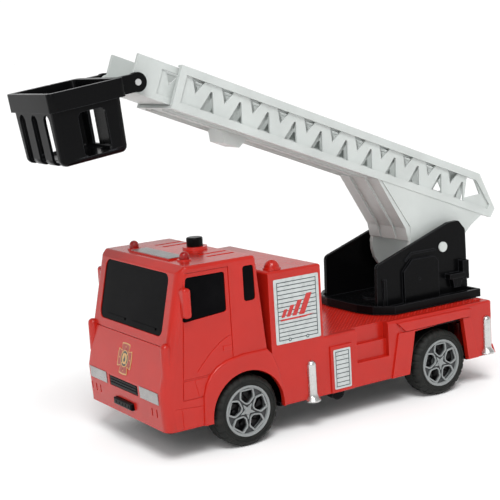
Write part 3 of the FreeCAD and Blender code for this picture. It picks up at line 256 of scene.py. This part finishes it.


# Each plastic's edge factor paints its sharp edges paler: light wear plus a painted highlight; on the black
# plastic it is almost wholly painted sheen.
PLASTICS = {
    "red_plastic": {
        "colour": (0.42, 0.012, 0.006), "roughness": 0.22, "grain": 0.05, "edge_sheen_and_wear": 1.5, "specular": 0.4,
    },
    "black_plastic": {
        "colour": (0.0026, 0.0027, 0.0030), "roughness": 0.22, "edge_sheen_and_wear": 16.0, "specular": 0.07,
    },
    "white_plastic": {"colour": (0.50, 0.53, 0.515), "roughness": 0.36, "edge_sheen_and_wear": 1.08},
    "pin_grey": {"colour": (0.42, 0.43, 0.43), "roughness": 0.3, "grain": 0.05, "edge_sheen_and_wear": 1.1},
    "rim_grey": {"colour": (0.035, 0.038, 0.04), "roughness": 0.34, "edge_sheen_and_wear": 2.0, "specular": 0.3},
    "rim_silver": {
        "colour": (0.22, 0.235, 0.235), "roughness": 0.26, "grain": 0.04, "edge_sheen_and_wear": 1.35, "specular": 0.4,
    },
    "rim_dark": {"colour": (0.006, 0.006, 0.0065), "roughness": 0.4, "edge_sheen_and_wear": 3.0, "specular": 0.2},
    "speaker_black": {"colour": (0.02, 0.02, 0.021), "roughness": 0.5},
    "board_green": {"colour": (0.02, 0.16, 0.05), "roughness": 0.35},
    "gear_white": {"colour": (0.75, 0.73, 0.66), "roughness": 0.35},
}
PRINTS = {
    "badge_print": ((0.60, 0.33, 0.07), 0.3),
    "badge_gold": ((0.55, 0.33, 0.12), 0.32),
    "badge_red": ((0.30, 0.03, 0.02), 0.3),
    "label_print": ((0.47, 0.50, 0.495), 0.3),
    "label_ink": ((0.015, 0.03, 0.035), 0.35),
    "label_red": ((0.45, 0.02, 0.018), 0.3),
}
DRAWN_ALONG_Y = (1.0, 6.0, 1.0)
DRAWN_UPRIGHT = (1.0, 1.0, 0.3)
MATERIALS = {
    "black_gloss": dark_gloss("black_gloss"),
    "silver_foil": bright_metal("silver_foil", (0.38, 0.375, 0.37), 0.22, 0.45, DRAWN_ALONG_Y),
    "silver_plastic": bright_metal("silver_plastic", (0.62, 0.62, 0.61), 0.16, 0.34, DRAWN_UPRIGHT),
    "steel": bright_metal("steel", (0.60, 0.59, 0.57), 0.25, 0.5, DRAWN_ALONG_Y),
    "lamp_red": lamp_plastic("lamp_red"),
    "tyre": rubber("tyre"),
}
for material_name, settings in PLASTICS.items():
    MATERIALS[material_name] = moulded_plastic(material_name, **settings)
for material_name, (colour, roughness) in PRINTS.items():
    MATERIALS[material_name] = printed(material_name, colour, roughness)


# Mesh helpers

def slab(loops, low, high, place):
    """A flat polygon with holes, thickened from low to high; place turns (u, v, w) into the row frame."""
    vertices = []
    faces = []
    for loop in loops:
        first = len(vertices) // 2
        for u, v in loop:
            vertices.append(place(u, v, low))
            vertices.append(place(u, v, high))
        for index in range(len(loop)):
            here = (first + index) * 2
            after = (first + (index + 1) % len(loop)) * 2
            faces.append((here, after, after + 1, here + 1))
    for a, b, c in tessellate_polygon([[Vector((u, v, 0.0)) for u, v in loop] for loop in loops]):
        faces.append((a * 2, c * 2, b * 2))
        faces.append((a * 2 + 1, b * 2 + 1, c * 2 + 1))
    return vertices, faces


def lathe(rows, steps, place):
    """A closed section turned about an axis.

    Rows are (along, radius at a step), and place takes (along, u, v).
    """
    vertices = []
    faces = []
    count = len(rows)
    for step in range(steps):
        angle = math.tau * step / steps
        for along, radius_at in rows:
            radius = radius_at(step)
            vertices.append(place(along, radius * math.cos(angle), radius * math.sin(angle)))
    for step in range(steps):
        for index in range(count):
            here = step * count + index
            beside = step * count + (index + 1) % count
            ahead = ((step + 1) % steps) * count
            faces.append((here, beside, ahead + (index + 1) % count, ahead + index))
    return vertices, faces


def together(*parts):
    """Several lists of vertices and faces as one."""
    vertices = []
    faces = []
    for points, polygons in parts:
        first = len(vertices)
        vertices += points
        faces += [tuple(index + first for index in polygon) for polygon in polygons]
    return vertices, faces


def piece(name, shape, material, slot, body, bevel=0.0, smooth_angle=35.0):
    """A mesh object that rides on a body, with soft edges and shading that is smooth up to an angle."""
    vertices, faces = shape
    mesh = bpy.data.meshes.new(name)
    mesh.from_pydata([tuple(point) for point in vertices], [], faces)
    work = bmesh.new()
    work.from_mesh(mesh)
    bmesh.ops.remove_doubles(work, verts=work.verts, dist=1e-7)
    bmesh.ops.recalc_face_normals(work, faces=work.faces)
    for edge in work.edges:
        edge.smooth = len(edge.link_faces) == 2 and edge.calc_face_angle(0.0) < math.radians(smooth_angle)
    for face in work.faces:
        face.smooth = True
    work.to_mesh(mesh)
    work.free()
    mesh.materials.append(MATERIALS[material])
    thing = bpy.data.objects.new(name, mesh)
    bpy.context.scene.collection.objects.link(thing)
    if bevel:
        modifier = thing.modifiers.new("soft_edges", "BEVEL")
        modifier.width = bevel
        modifier.segments = 2
        modifier.limit_method = "ANGLE"
        modifier.angle_limit = math.radians(30)
    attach(thing, body)
    return thing


def round_loop(radius, steps, centre=(0.0, 0.0)):
    """A circle as a loop of points."""
    turns = [math.tau * step / steps for step in range(steps)]
    return [(centre[0] + radius * math.cos(turn), centre[1] + radius * math.sin(turn)) for turn in turns]


def softened(loop, radius, steps=4):
    """A loop with its corners rounded off."""
    points = []
    count = len(loop)
    for index, corner in enumerate(loop):
        corner = Vector(corner)
        before = Vector(loop[index - 1]) - corner
        after = Vector(loop[(index + 1) % count]) - corner
        reach = min(radius, before.length * 0.45, after.length * 0.45)
        start = corner + before.normalized() * reach
        end = corner + after.normalized() * reach
        for step in range(steps + 1):
            share = step / steps
            point = start * (1 - share) ** 2 + corner * 2 * share * (1 - share) + end * share ** 2
            points.append((point.x, point.y))
    return points


def grown(loop, factor):
    """A loop scaled about its own middle."""
    middle = sum((Vector(point) for point in loop), Vector((0.0, 0.0))) / len(loop)
    return [tuple(middle + (Vector(point) - middle) * factor) for point in loop]


def polar(radius, degrees):
    """A point at a radius and an angle."""
    return (radius * math.cos(math.radians(degrees)), radius * math.sin(math.radians(degrees)))


def bar(low_u, high_u, low_v, high_v):
    """A rectangle as a loop."""
    return [(low_u, low_v), (high_u, low_v), (high_u, high_v), (low_u, high_v)]


# Wheels

CELLS = 5
LUGS = 28
STEPS_PER_LUG = 8
STEPS_BETWEEN_LUGS = 2
LUG_DEPTH = 0.4
GROOVE_DEPTH = 0.6
PLATE_MARGIN = 1.3
# How far behind the rim's face each layer of a wheel starts and ends.
RIM_LAYERS = {
    "plate": (2.6, 1.6),
    "ridges": (1.7, 0.75),
    "star": (1.7, 0.9),
    "cap": (1.0, 0.5),
    "barrel": (6.0, 1.7),
    "back": (5.6, 5.0),
    "wedge": (5.1, 3.4),
    "peg": (5.1, 3.2),
}


def wheel_place(node, sign):
    """Turns (along, u, v) millimetres of a wheel, along pointing out, into the row frame."""
    low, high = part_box(node)
    centre = (low + high) / 2
    return lambda along, u, v: centre + Vector((sign * along, u, v)) * MM


def tyre_shape(radius, half, seat, place):
    """A tyre section with raised sidewall rings, two round grooves and staggered shoulder lugs."""
    def plain(value):
        """The same radius all round."""
        return lambda step: value

    def lug(value, phase):
        """A radius that dips between lugs."""
        def radius_at(step):
            spot = (step + phase) % STEPS_PER_LUG
            return value - (LUG_DEPTH if spot < STEPS_BETWEEN_LUGS else 0.0)
        return radius_at

    side = [
        (half - 0.6, seat),
        (half - 0.1, seat + 0.35),
        (half - 0.1, seat + 0.8),
        (half - 0.45, seat + 1.1),
        (half - 0.45, radius - 2.9),
        (half, radius - 2.65),
        (half, radius - 2.3),
    ]
    shoulder = [
        (half - 0.55, radius - 1.5),
        (half - 1.2, radius - 0.7),
        (half - 2.5, radius),
        (2.9, radius),
    ]
    groove = ((2.6, GROOVE_DEPTH), (1.9, GROOVE_DEPTH), (1.6, 0.0))
    rows = []
    for along, value in side:
        rows.append((along, plain(value)))
    for along, value in shoulder:
        rows.append((along, lug(value, 0)))
    for along, depth in groove:
        rows.append((along, plain(radius - depth)))
    for along, depth in reversed(groove):
        rows.append((-along, plain(radius - depth)))
    for along, value in reversed(shoulder):
        rows.append((-along, lug(value, STEPS_PER_LUG // 2)))
    for along, value in reversed(side):
        rows.append((-along, plain(value)))
    return lathe(rows, LUGS * STEPS_PER_LUG, place)


def rim_ring(seat, half, place):
    """The silver outer ring of a rim, with a rolled lip."""
    section = [
        (half - 0.7, seat - 0.02),
        (half - 0.25, seat - 0.1),
        (half - 0.02, seat - 0.45),
        (half - 0.05, seat - 1.0),
        (half - 0.4, seat - 1.45),
        (half - 1.6, seat - 1.7),
        (1.0 - half, seat - 1.5),
        (-half, seat - 1.3),
        (-half, seat - 0.02),
    ]
    return lathe([(along, lambda step, value=value: value) for along, value in section], 120, place)


def cell(turn):
    """One six-sided opening of a rim."""
    corners = ((11.2, -17), (11.2, 17), (7.8, 29), (4.2, 12), (4.2, -12), (7.8, -29))
    return [polar(radius, turn + degrees) for radius, degrees in corners]


def rim_layer(name, loops, face, flat):
    """Outlines in the plane of the wheel, thickened between the two depths of a layer."""
    deep, near = RIM_LAYERS[name]
    return slab(loops, face - deep, face - near, flat)


def cell_ridges(turns, openings, face, flat):
    """A raised band around every cell."""
    bands = []
    for turn, opening in zip(turns, openings):
        outside = softened(grown(cell(turn), 1.22), 0.9)
        bands.append(rim_layer("ridges", [outside, opening], face, flat))
    return together(*bands)


def hub_shape(turns, face, flat):
    """A star between the cells, with a round cap in front and a barrel behind."""
    cap_radius = 1.7
    star_reach = 4.6
    barrel_radius = 3.4
    half_pitch = 180 / CELLS
    star = []
    for turn in turns:
        star.append(polar(star_reach, turn + half_pitch))
        star.append(polar(cap_radius, turn + half_pitch + half_pitch))
    return together(
        rim_layer("star", [softened(star, 0.5)], face, flat),
        rim_layer("cap", [round_loop(cap_radius, 40)], face, flat),
        rim_layer("barrel", [round_loop(barrel_radius, 40)], face, flat),
    )


def back_shape(turns, seat, face, flat):
    """The dark disc seen through the cells, with a wedge and a peg behind each one."""
    parts = [rim_layer("back", [round_loop(seat - PLATE_MARGIN, 90)], face, flat)]
    for turn in turns:
        wedge = [polar(5.6, turn - 20), polar(10.4, turn - 12), polar(9.4, turn + 8)]
        peg = round_loop(0.8, 20, polar(7.2, turn + 14))
        parts.append(rim_layer("wedge", [softened(wedge, 0.5)], face, flat))
        parts.append(rim_layer("peg", [peg], face, flat))
    return together(*parts)


def wheel(axle, side_name, sign):
    """One wheel: rubber tyre, silver ring and ridges, dark spoke plate, hub star and back disc."""
    body = f"{axle}_wheels"
    tyre_node = f"{axle}_tyre_{side_name}"
    rim_node = f"{axle}_rim_{side_name}"
    place = wheel_place(tyre_node, sign)
    low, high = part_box(tyre_node)
    radius = (high.z - low.z) / 2 / MM
    half = (high.x - low.x) / 2 / MM
    rim_low, rim_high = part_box(rim_node)
    seat = (rim_high.z - rim_low.z) / 2 / MM

    def flat(u, v, w):
        """The same place for an outline in the plane of the wheel."""
        return place(w, u, v)

    def part(name, shape, material, slot="rim_grey", bevel=0.0):
        """One piece of this wheel."""
        return piece(f"{axle}_{side_name}_{name}", shape, material, slot, body, bevel)

    turns = [90 + 360 / CELLS * index for index in range(CELLS)]
    openings = [softened(cell(turn), 0.8) for turn in turns]
    plate = rim_layer("plate", [round_loop(seat - PLATE_MARGIN, 90)] + openings, half, flat)
    tyre = part("rubber", tyre_shape(radius, half, seat, place), "tyre", "tyre")
    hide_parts(tyre_node)
    ring = part("ring", rim_ring(seat, half, place), "rim_silver")
    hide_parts(rim_node)
    part("plate", plate, "rim_grey", bevel=0.12 * MM)
    part("ridges", cell_ridges(turns, openings, half, flat), "rim_silver", bevel=0.2 * MM)
    part("hub", hub_shape(turns, half, flat), "rim_silver", bevel=0.15 * MM)
    part("back", back_shape(turns, seat, half, flat), "rim_dark", bevel=0.12 * MM)


# Spring under the roof button

def button_coil():
    """The steel coil under the button's flange."""
    low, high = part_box("button_spring")
    foot = Vector(((low.x + high.x) / 2, (low.y + high.y) / 2, low.z))
    wire = 0.25 * MM
    radius = (high.x - low.x) / 2 - wire
    rise = high.z - low.z - 2 * wire
    coils = 4
    steps_per_turn = 32
    sides = 8
    steps = coils * steps_per_turn
    vertices = []
    faces = []
    for step in range(steps + 1):
        turn = math.tau * step / steps_per_turn
        out = Vector((math.cos(turn), math.sin(turn), 0.0))
        centre = foot + out * radius + Vector((0.0, 0.0, wire + rise * step / steps))
        for side in range(sides):
            around = math.tau * side / sides
            vertices.append(
                centre + (out * math.cos(around) + Vector((0.0, 0.0, math.sin(around)))) * wire
            )
    for step in range(steps):
        for side in range(sides):
            here = step * sides
            after = (side + 1) % sides
            faces.append((here + side, here + after, here + sides + after, here + sides + side))
    faces.append(tuple(reversed(range(sides))))
    faces.append(tuple(range(steps * sides, steps * sides + sides)))
    slot = SLOT_OF["button_spring"]
    coil = piece("button_coil", (vertices, faces), slot, slot, "truck", 0.0, 60.0)
    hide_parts("button_spring")
    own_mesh(coil)


# Dummy support legs

def half_turned(rows, steps, place):
    """A section turned half a circle about an upright axis, with a flat back; rows are (radius, height)."""
    vertices = []
    faces = []
    count = len(rows)
    for step in range(steps + 1):
        turn = math.pi * (step / steps - 0.5)
        for radius, height in rows:
            vertices.append(place(radius * math.cos(turn), radius * math.sin(turn), height))
    for step in range(steps):
        for index in range(count - 1):
            here = step * count + index
            ahead = here + count
            faces.append((here, here + 1, ahead + 1, ahead))
    last = steps * count
    faces.append(tuple(range(count)) + tuple(last + index for index in reversed(range(1, count - 1))))
    return vertices, faces


def support_leg(node):
    """A silver leg on the side wall: a flanged foot, a hollow-curved neck and a round-topped post."""
    low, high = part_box(node)
    sign = 1 if low.x + high.x > 0 else -1
    wall_x = low.x if sign > 0 else high.x
    middle_y = (low.y + high.y) / 2
    tall = (high.z - low.z) / MM
    foot = (high.y - low.y) / 2 / MM
    post = 2.6
    flange = 0.9
    edge = 0.25
    neck = 4.6
    neck_steps = 6
    dome_steps = 8
    rows = [(0.0, 0.0), (foot - 0.2, 0.0), (foot, edge), (foot, flange), (foot - edge, flange + edge)]
    for step in range(1, neck_steps + 1):
        share = step / neck_steps
        radius = post + (foot - edge - post) * (1 - share) ** 2
        rows.append((radius, flange + edge + (neck - flange) * share))
    for step in range(dome_steps + 1):
        turn = math.pi / 2 * step / dome_steps
        rows.append((post * math.cos(turn), tall - post + post * math.sin(turn)))

    def place(out, along, up):
        """Turns millimetres out of the wall, along it and up from the foot into the row frame."""
        return Vector((wall_x + sign * out * MM, middle_y + along * MM, low.z + up * MM))

    slot = SLOT_OF[node]
    leg = piece(f"{node}_leg", half_turned(rows, 32, place), slot, slot, "truck", smooth_angle=50.0)
    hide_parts(node)


# Stickers

# Where each layer of a side sticker starts and ends, out from the wall.
FILM_LAYER = (0.0, 0.16)
INK_LAYER = (0.14, 0.2)
LATCH_LAYER = (0.15, 0.22)
PAD_LAYER = (0.15, 0.215)
MOTIF_LAYER = (0.19, 0.25)
LATCH_RADIUS = 0.95
PAD_RADIUS = 0.5
LATCH_STEPS = 28


def side_place(node, sign):
    """Turns (u, v, w) millimetres on a side sticker into the row frame; w points out of the side wall."""
    low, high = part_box(node)
    inner = low.x if sign > 0 else high.x
    middle = (low + high) / 2
    return lambda u, v, w: Vector((inner + sign * w * MM, middle.y + u * MM, middle.z + v * MM))


def slatted_sticker(node, slats, latches, sign, has_motif):
    """A roller-shutter sticker: pale film, dark frame and slat lines, round latches and a motif."""
    low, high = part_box(node)
    half_wide = (high.y - low.y) / 2 / MM
    half_tall = (high.z - low.z) / 2 / MM
    place = side_place(node, sign)
    film = slab([softened(bar(-half_wide, half_wide, -half_tall, half_tall), 0.8)], *FILM_LAYER, place)
    base = piece(f"{node}_film", film, "label_print", "label_print", "truck", 0.04 * MM)
    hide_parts(node)
    margin = 0.075 * half_wide + 0.7
    wide = half_wide - margin
    tall = half_tall - margin
    line = 0.42
    frame_loops = [bar(-wide, wide, -tall, tall), bar(line - wide, wide - line, line - tall, tall - line)]
    parts = [slab(frame_loops, *INK_LAYER, place)]
    pitch = 2 * tall / slats
    for index in range(1, slats):
        height = pitch * index - tall
        slat = bar(line - wide, wide - line, height - line / 2, height + line / 2)
        parts.append(slab([slat], *INK_LAYER, place))
    pads = []
    for share in latches:
        centre = (share * wide, -tall)
        ring = round_loop(LATCH_RADIUS, LATCH_STEPS, centre)
        pad = round_loop(PAD_RADIUS, LATCH_STEPS, centre)
        parts.append(slab([ring, pad], *LATCH_LAYER, place))
        pads.append(slab([pad], *PAD_LAYER, place))
    piece(f"{node}_ink", together(*parts), "label_ink", "label_print", "truck")
    if pads:
        piece(f"{node}_latch_pads", together(*pads), "label_print", "label_print", "truck")
    if has_motif:
        piece(f"{node}_motif", together(*flash_motif(place)), "label_red", "label_print", "truck")


def flash_motif(place):
    """A plain red motif of leaning strokes that grow towards the rear, over a long underline."""
    shapes = []
    lean = 0.5
    low = -3.2
    for start, width, high in ((-10.4, 2.2, 0.9), (-7.2, 2.5, 2.6), (-3.6, 2.9, 4.6), (0.6, 3.6, 7.4)):
        shift = lean * (high - low)
        stroke = [
            (start, low),
            (start + width, low),
            (start + width + shift, high),
            (start + shift, high),
        ]
        shapes.append(slab([softened(stroke, 0.5)], *MOTIF_LAYER, place))
    underline = [(-11.0, -5.0), (4.6, -4.9), (10.4, -3.7), (4.4, -4.0), (-10.6, -4.1)]
    shapes.append(slab([softened(underline, 0.3)], *MOTIF_LAYER, place))
    return shapes


# Front badge

# An arm's outer edge bows out by this share of the arm.
ARM_BOW = 1.05


def badge_cross(arm, waist, flare):
    """A cross with four flared arms as a loop."""
    points = []
    corner = math.degrees(math.atan2(flare, arm))
    reach = math.hypot(arm, flare)
    for quarter in range(4):
        turn = 90 * quarter
        points.append(polar(reach, turn - corner))
        points.append(polar(arm * ARM_BOW, turn))
        points.append(polar(reach, turn + corner))
        points.append(polar(waist, turn + 45))
    return points


def badge_trims(size, place):
    """The badge's gold ring, with a strut on each diagonal and a stud on each arm."""
    trims = [slab([round_loop(size * 0.56, 60), round_loop(size * 0.50, 60)], 0.2, 0.29, place)]
    for quarter in range(4):
        arm_turn = 90 * quarter
        turn = 45 + arm_turn
        strut = [
            polar(size * 0.34, turn - 6),
            polar(size * 0.6, turn - 3),
            polar(size * 0.6, turn + 3),
            polar(size * 0.34, turn + 6),
        ]
        stud = round_loop(size * 0.055, 20, polar(size * 0.78, arm_turn))
        trims.append(slab([strut], 0.2, 0.27, place))
        trims.append(slab([stud], 0.2, 0.28, place))
    return together(*trims)


def badge():
    """The front badge: a gold-edged cross with a dark ring and a plain flame, on the sloping nose."""
    low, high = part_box("front_badge")
    foot = Vector((0.0, low.y, low.z))
    head = Vector((0.0, high.y, high.z))
    along = (head - foot).normalized()
    out = Vector((0.0, -along.z, along.y))
    half_wide = (high.x - low.x) / 2 / MM
    half_tall = (head - foot).length / 2 / MM
    thick = 0.3
    middle = (foot + head) / 2
    narrow = half_wide / half_tall
    size = half_tall * 0.97 / ARM_BOW

    def place(u, v, w):
        """Turns millimetres across, along and out of the badge into the row frame."""
        return middle + Vector((u * narrow * MM, 0.0, 0.0)) + along * v * MM + out * (w - thick / 2) * MM

    def layer(name, loop, start, end, material, bevel=0.0):
        """One flat layer of the badge."""
        return piece(name, slab([loop], start, end, place), material, "badge_print", "truck", bevel)

    cross = softened(badge_cross(size, size * 0.70, size * 0.62), 0.9)
    base = layer("front_badge_gold", cross, 0.0, 0.2, "badge_gold", 0.04 * MM)
    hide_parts("front_badge")
    field = softened(badge_cross(size * 0.92, size * 0.62, size * 0.55), 0.8)
    layer("front_badge_field", field, 0.18, 0.24, "badge_red")
    piece("front_badge_trim", badge_trims(size, place), "badge_gold", "badge_print", "truck")
    layer("front_badge_ring", round_loop(size * 0.50, 60), 0.2, 0.26, "label_ink")
    layer("front_badge_centre", round_loop(size * 0.36, 60), 0.22, 0.29, "badge_gold")
    flame = [(0.0, 2.3), (0.9, 0.7), (1.25, -0.6), (0.7, -1.7), (-0.7, -1.7), (-1.25, -0.6), (-0.5, 0.2)]
    layer("front_badge_flame", softened(flame, 0.5), 0.26, 0.3, "label_ink")


# Bed

def bed_height():
    """The height of the flat bed, which is where the turntable's joint sits."""
    return next(joint["pos_m"][2] for joint in frame["joints"] if joint["name"] == "turntable_swing")


def tread_plate():
    """Low diamonds on the flat bed behind the equipment box, in rows that alternate in direction."""
    turn_low, turn_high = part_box("turntable")
    deck = bed_height()
    box_rear = -6.7 * MM
    front_margin = 2.2 * MM
    rear_margin = 5 * MM
    hub_clearance = 16 * MM
    pitch = 2.3 * MM
    columns = 17
    long_half = 0.8 * MM
    short_half = 0.36 * MM
    rise = 0.22 * MM
    hub = Vector((0.0, (turn_low.y + turn_high.y) / 2))
    vertices = []
    faces = []
    rows = int((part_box("body_shell")[1].y - box_rear - rear_margin) / pitch)
    for row in range(rows):
        y = box_rear + front_margin + row * pitch
        for column in range(-columns, columns + 1):
            x = column * pitch
            if (Vector((x, y)) - hub).length < hub_clearance:
                continue
            across = (row + column) % 2 == 0
            reach_x, reach_y = (long_half, short_half) if across else (short_half, long_half)
            first = len(vertices)
            vertices += [
                (x - reach_x, y, deck),
                (x, y - reach_y, deck),
                (x + reach_x, y, deck),
                (x, y + reach_y, deck),
                (x, y, deck + rise),
            ]
            faces += [(first + a, first + (a + 1) % 4, first + 4) for a in range(4)]
            faces.append((first + 3, first + 2, first + 1, first))
    piece("bed_tread", (vertices, faces), "red_plastic", "red_plastic", "truck")


# CAD nodes

# Edge rounding of the large mouldings.
SOFT_EDGES = {
    "basket": 0.45,
    "turntable": 0.4,
    "outer_ladder": 0.3,
    "inner_ladder": 0.25,
    "cab_shell": 0.3,
    "body_shell": 0.35,
}


def dress_nodes():
    """Gives every CAD node its material, and the large mouldings softly rounded edges."""
    for node_name, thing in NODES.items():
        for index in range(len(thing.material_slots)):
            thing.material_slots[index].material = MATERIALS[SLOT_OF[node_name]]
        if node_name in SOFT_EDGES:
            weld = thing.modifiers.new("joined_corners", "WELD")
            weld.merge_threshold = 0.002 * MM
            soft = thing.modifiers.new("soft_edges", "BEVEL")
            soft.width = SOFT_EDGES[node_name] * MM
            soft.segments = 2
            soft.limit_method = "ANGLE"
            soft.angle_limit = math.radians(40)
            soft.use_clamp_overlap = True
            soft.harden_normals = True


# Stage, lights and camera

def stage():
    """A plain pale floor that reaches to the horizon."""
    mesh = bpy.data.meshes.new("floor")
    reach = 60.0
    corners = [(-reach, -reach, 0), (reach, -reach, 0), (reach, reach, 0), (-reach, reach, 0)]
    mesh.from_pydata(corners, [], [(0, 1, 2, 3)])
    shader = Shader("floor")
    cloud = shader.noise(6.0, 2.0)
    shader.paint(cloud, (0.985, 0.985, 0.985), (0.995, 0.995, 0.995))
    shader.set(Roughness=0.8, Specular_IOR_Level=0.2)
    mesh.materials.append(shader.material)
    thing = bpy.data.objects.new("floor", mesh)
    bpy.context.scene.collection.objects.link(thing)


def room_light():
    """A white room that is dimmer overhead than at the horizon."""
    world = bpy.data.worlds.new("studio")
    world.use_nodes = True
    tree = world.node_tree
    background = tree.nodes["Background"]
    background.inputs["Color"].default_value = (1.0, 1.0, 1.0, 1.0)
    direction = tree.nodes.new("ShaderNodeTexCoord")
    parts = tree.nodes.new("ShaderNodeSeparateXYZ")
    fall = tree.nodes.new("ShaderNodeMapRange")
    fall.inputs["From Min"].default_value = 0.06
    fall.inputs["From Max"].default_value = 0.3
    fall.inputs["To Min"].default_value = 1.06
    fall.inputs["To Max"].default_value = 0.55
    tree.links.new(direction.outputs["Generated"], parts.inputs["Vector"])
    tree.links.new(parts.outputs["Z"], fall.inputs["Value"])
    tree.links.new(fall.outputs["Result"], background.inputs["Strength"])
    bpy.context.scene.world = world


def lamp_object(name, kind, energy, direction):
    """A light of a kind that shines along a direction."""
    data = bpy.data.lights.new(name, kind)
    data.energy = energy
    thing = bpy.data.objects.new(name, data)
    thing.rotation_mode = "QUATERNION"
    thing.rotation_quaternion = Vector(direction).to_track_quat("-Z", "Y")
    bpy.context.scene.collection.objects.link(thing)
    return thing


def lights():
    """The room, one wide soft key light from the front left, and a small soft light for the edges."""
    room_light()
    key = lamp_object("key", "SUN", 2.1, (-0.62, 0.30, -1.0))
    key.data.angle = math.radians(26)
    glow_place = Vector((0.9, -0.9, 0.75))
    glow_target = Vector((0, 0, 0.08))
    glow = lamp_object("edge_glow", "AREA", 2.5, glow_target - glow_place)
    glow.location = glow_place
    glow.data.shape = "RECTANGLE"
    glow.data.size = 0.35
    glow.data.size_y = 0.35


def camera():
    """The camera of the product view: from the front left, a little above, slightly rolled."""
    turn, rise, roll = math.radians(57.644), math.radians(9.547), math.radians(-3.488)
    distance = 0.6578
    target = Vector((0.0, -0.02123, 0.0923))
    back = Vector((math.sin(turn) * math.cos(rise), -math.cos(turn) * math.cos(rise), math.sin(rise)))
    level = Vector((math.cos(turn), math.sin(turn), 0.0))
    upright = back.cross(level)
    right = math.cos(roll) * level + math.sin(roll) * upright
    up = -math.sin(roll) * level + math.cos(roll) * upright
    data = bpy.data.cameras.new("camera")
    data.sensor_width = 36.0
    data.lens = 87.09
    data.clip_start = 0.01
    thing = bpy.data.objects.new("camera", data)
    matrix = Matrix((right, up, back)).transposed().to_4x4()
    matrix.translation = target + back * distance
    thing.matrix_world = matrix
    bpy.context.scene.collection.objects.link(thing)
    bpy.context.scene.camera = thing


def main():
    """Dresses every node, adds the detailed pieces, then sets the stage, lights and camera."""
    dress_nodes()
    for side_name, sign in SIDES:
        for axle in ("front", "rear"):
            wheel(axle, side_name, sign)
        slatted_sticker(f"shutter_label_{side_name}", 14, (-0.45, 0.45), sign, True)
        slatted_sticker(f"locker_label_{side_name}", 8, (), sign, False)
    for node in sorted(NODES):
        if node.startswith("outrigger"):
            support_leg(node)
    button_coil()
    badge()
    tread_plate()
    stage()
    lights()
    camera()


main()
bpy.context.scene.view_settings.view_transform = "Standard"
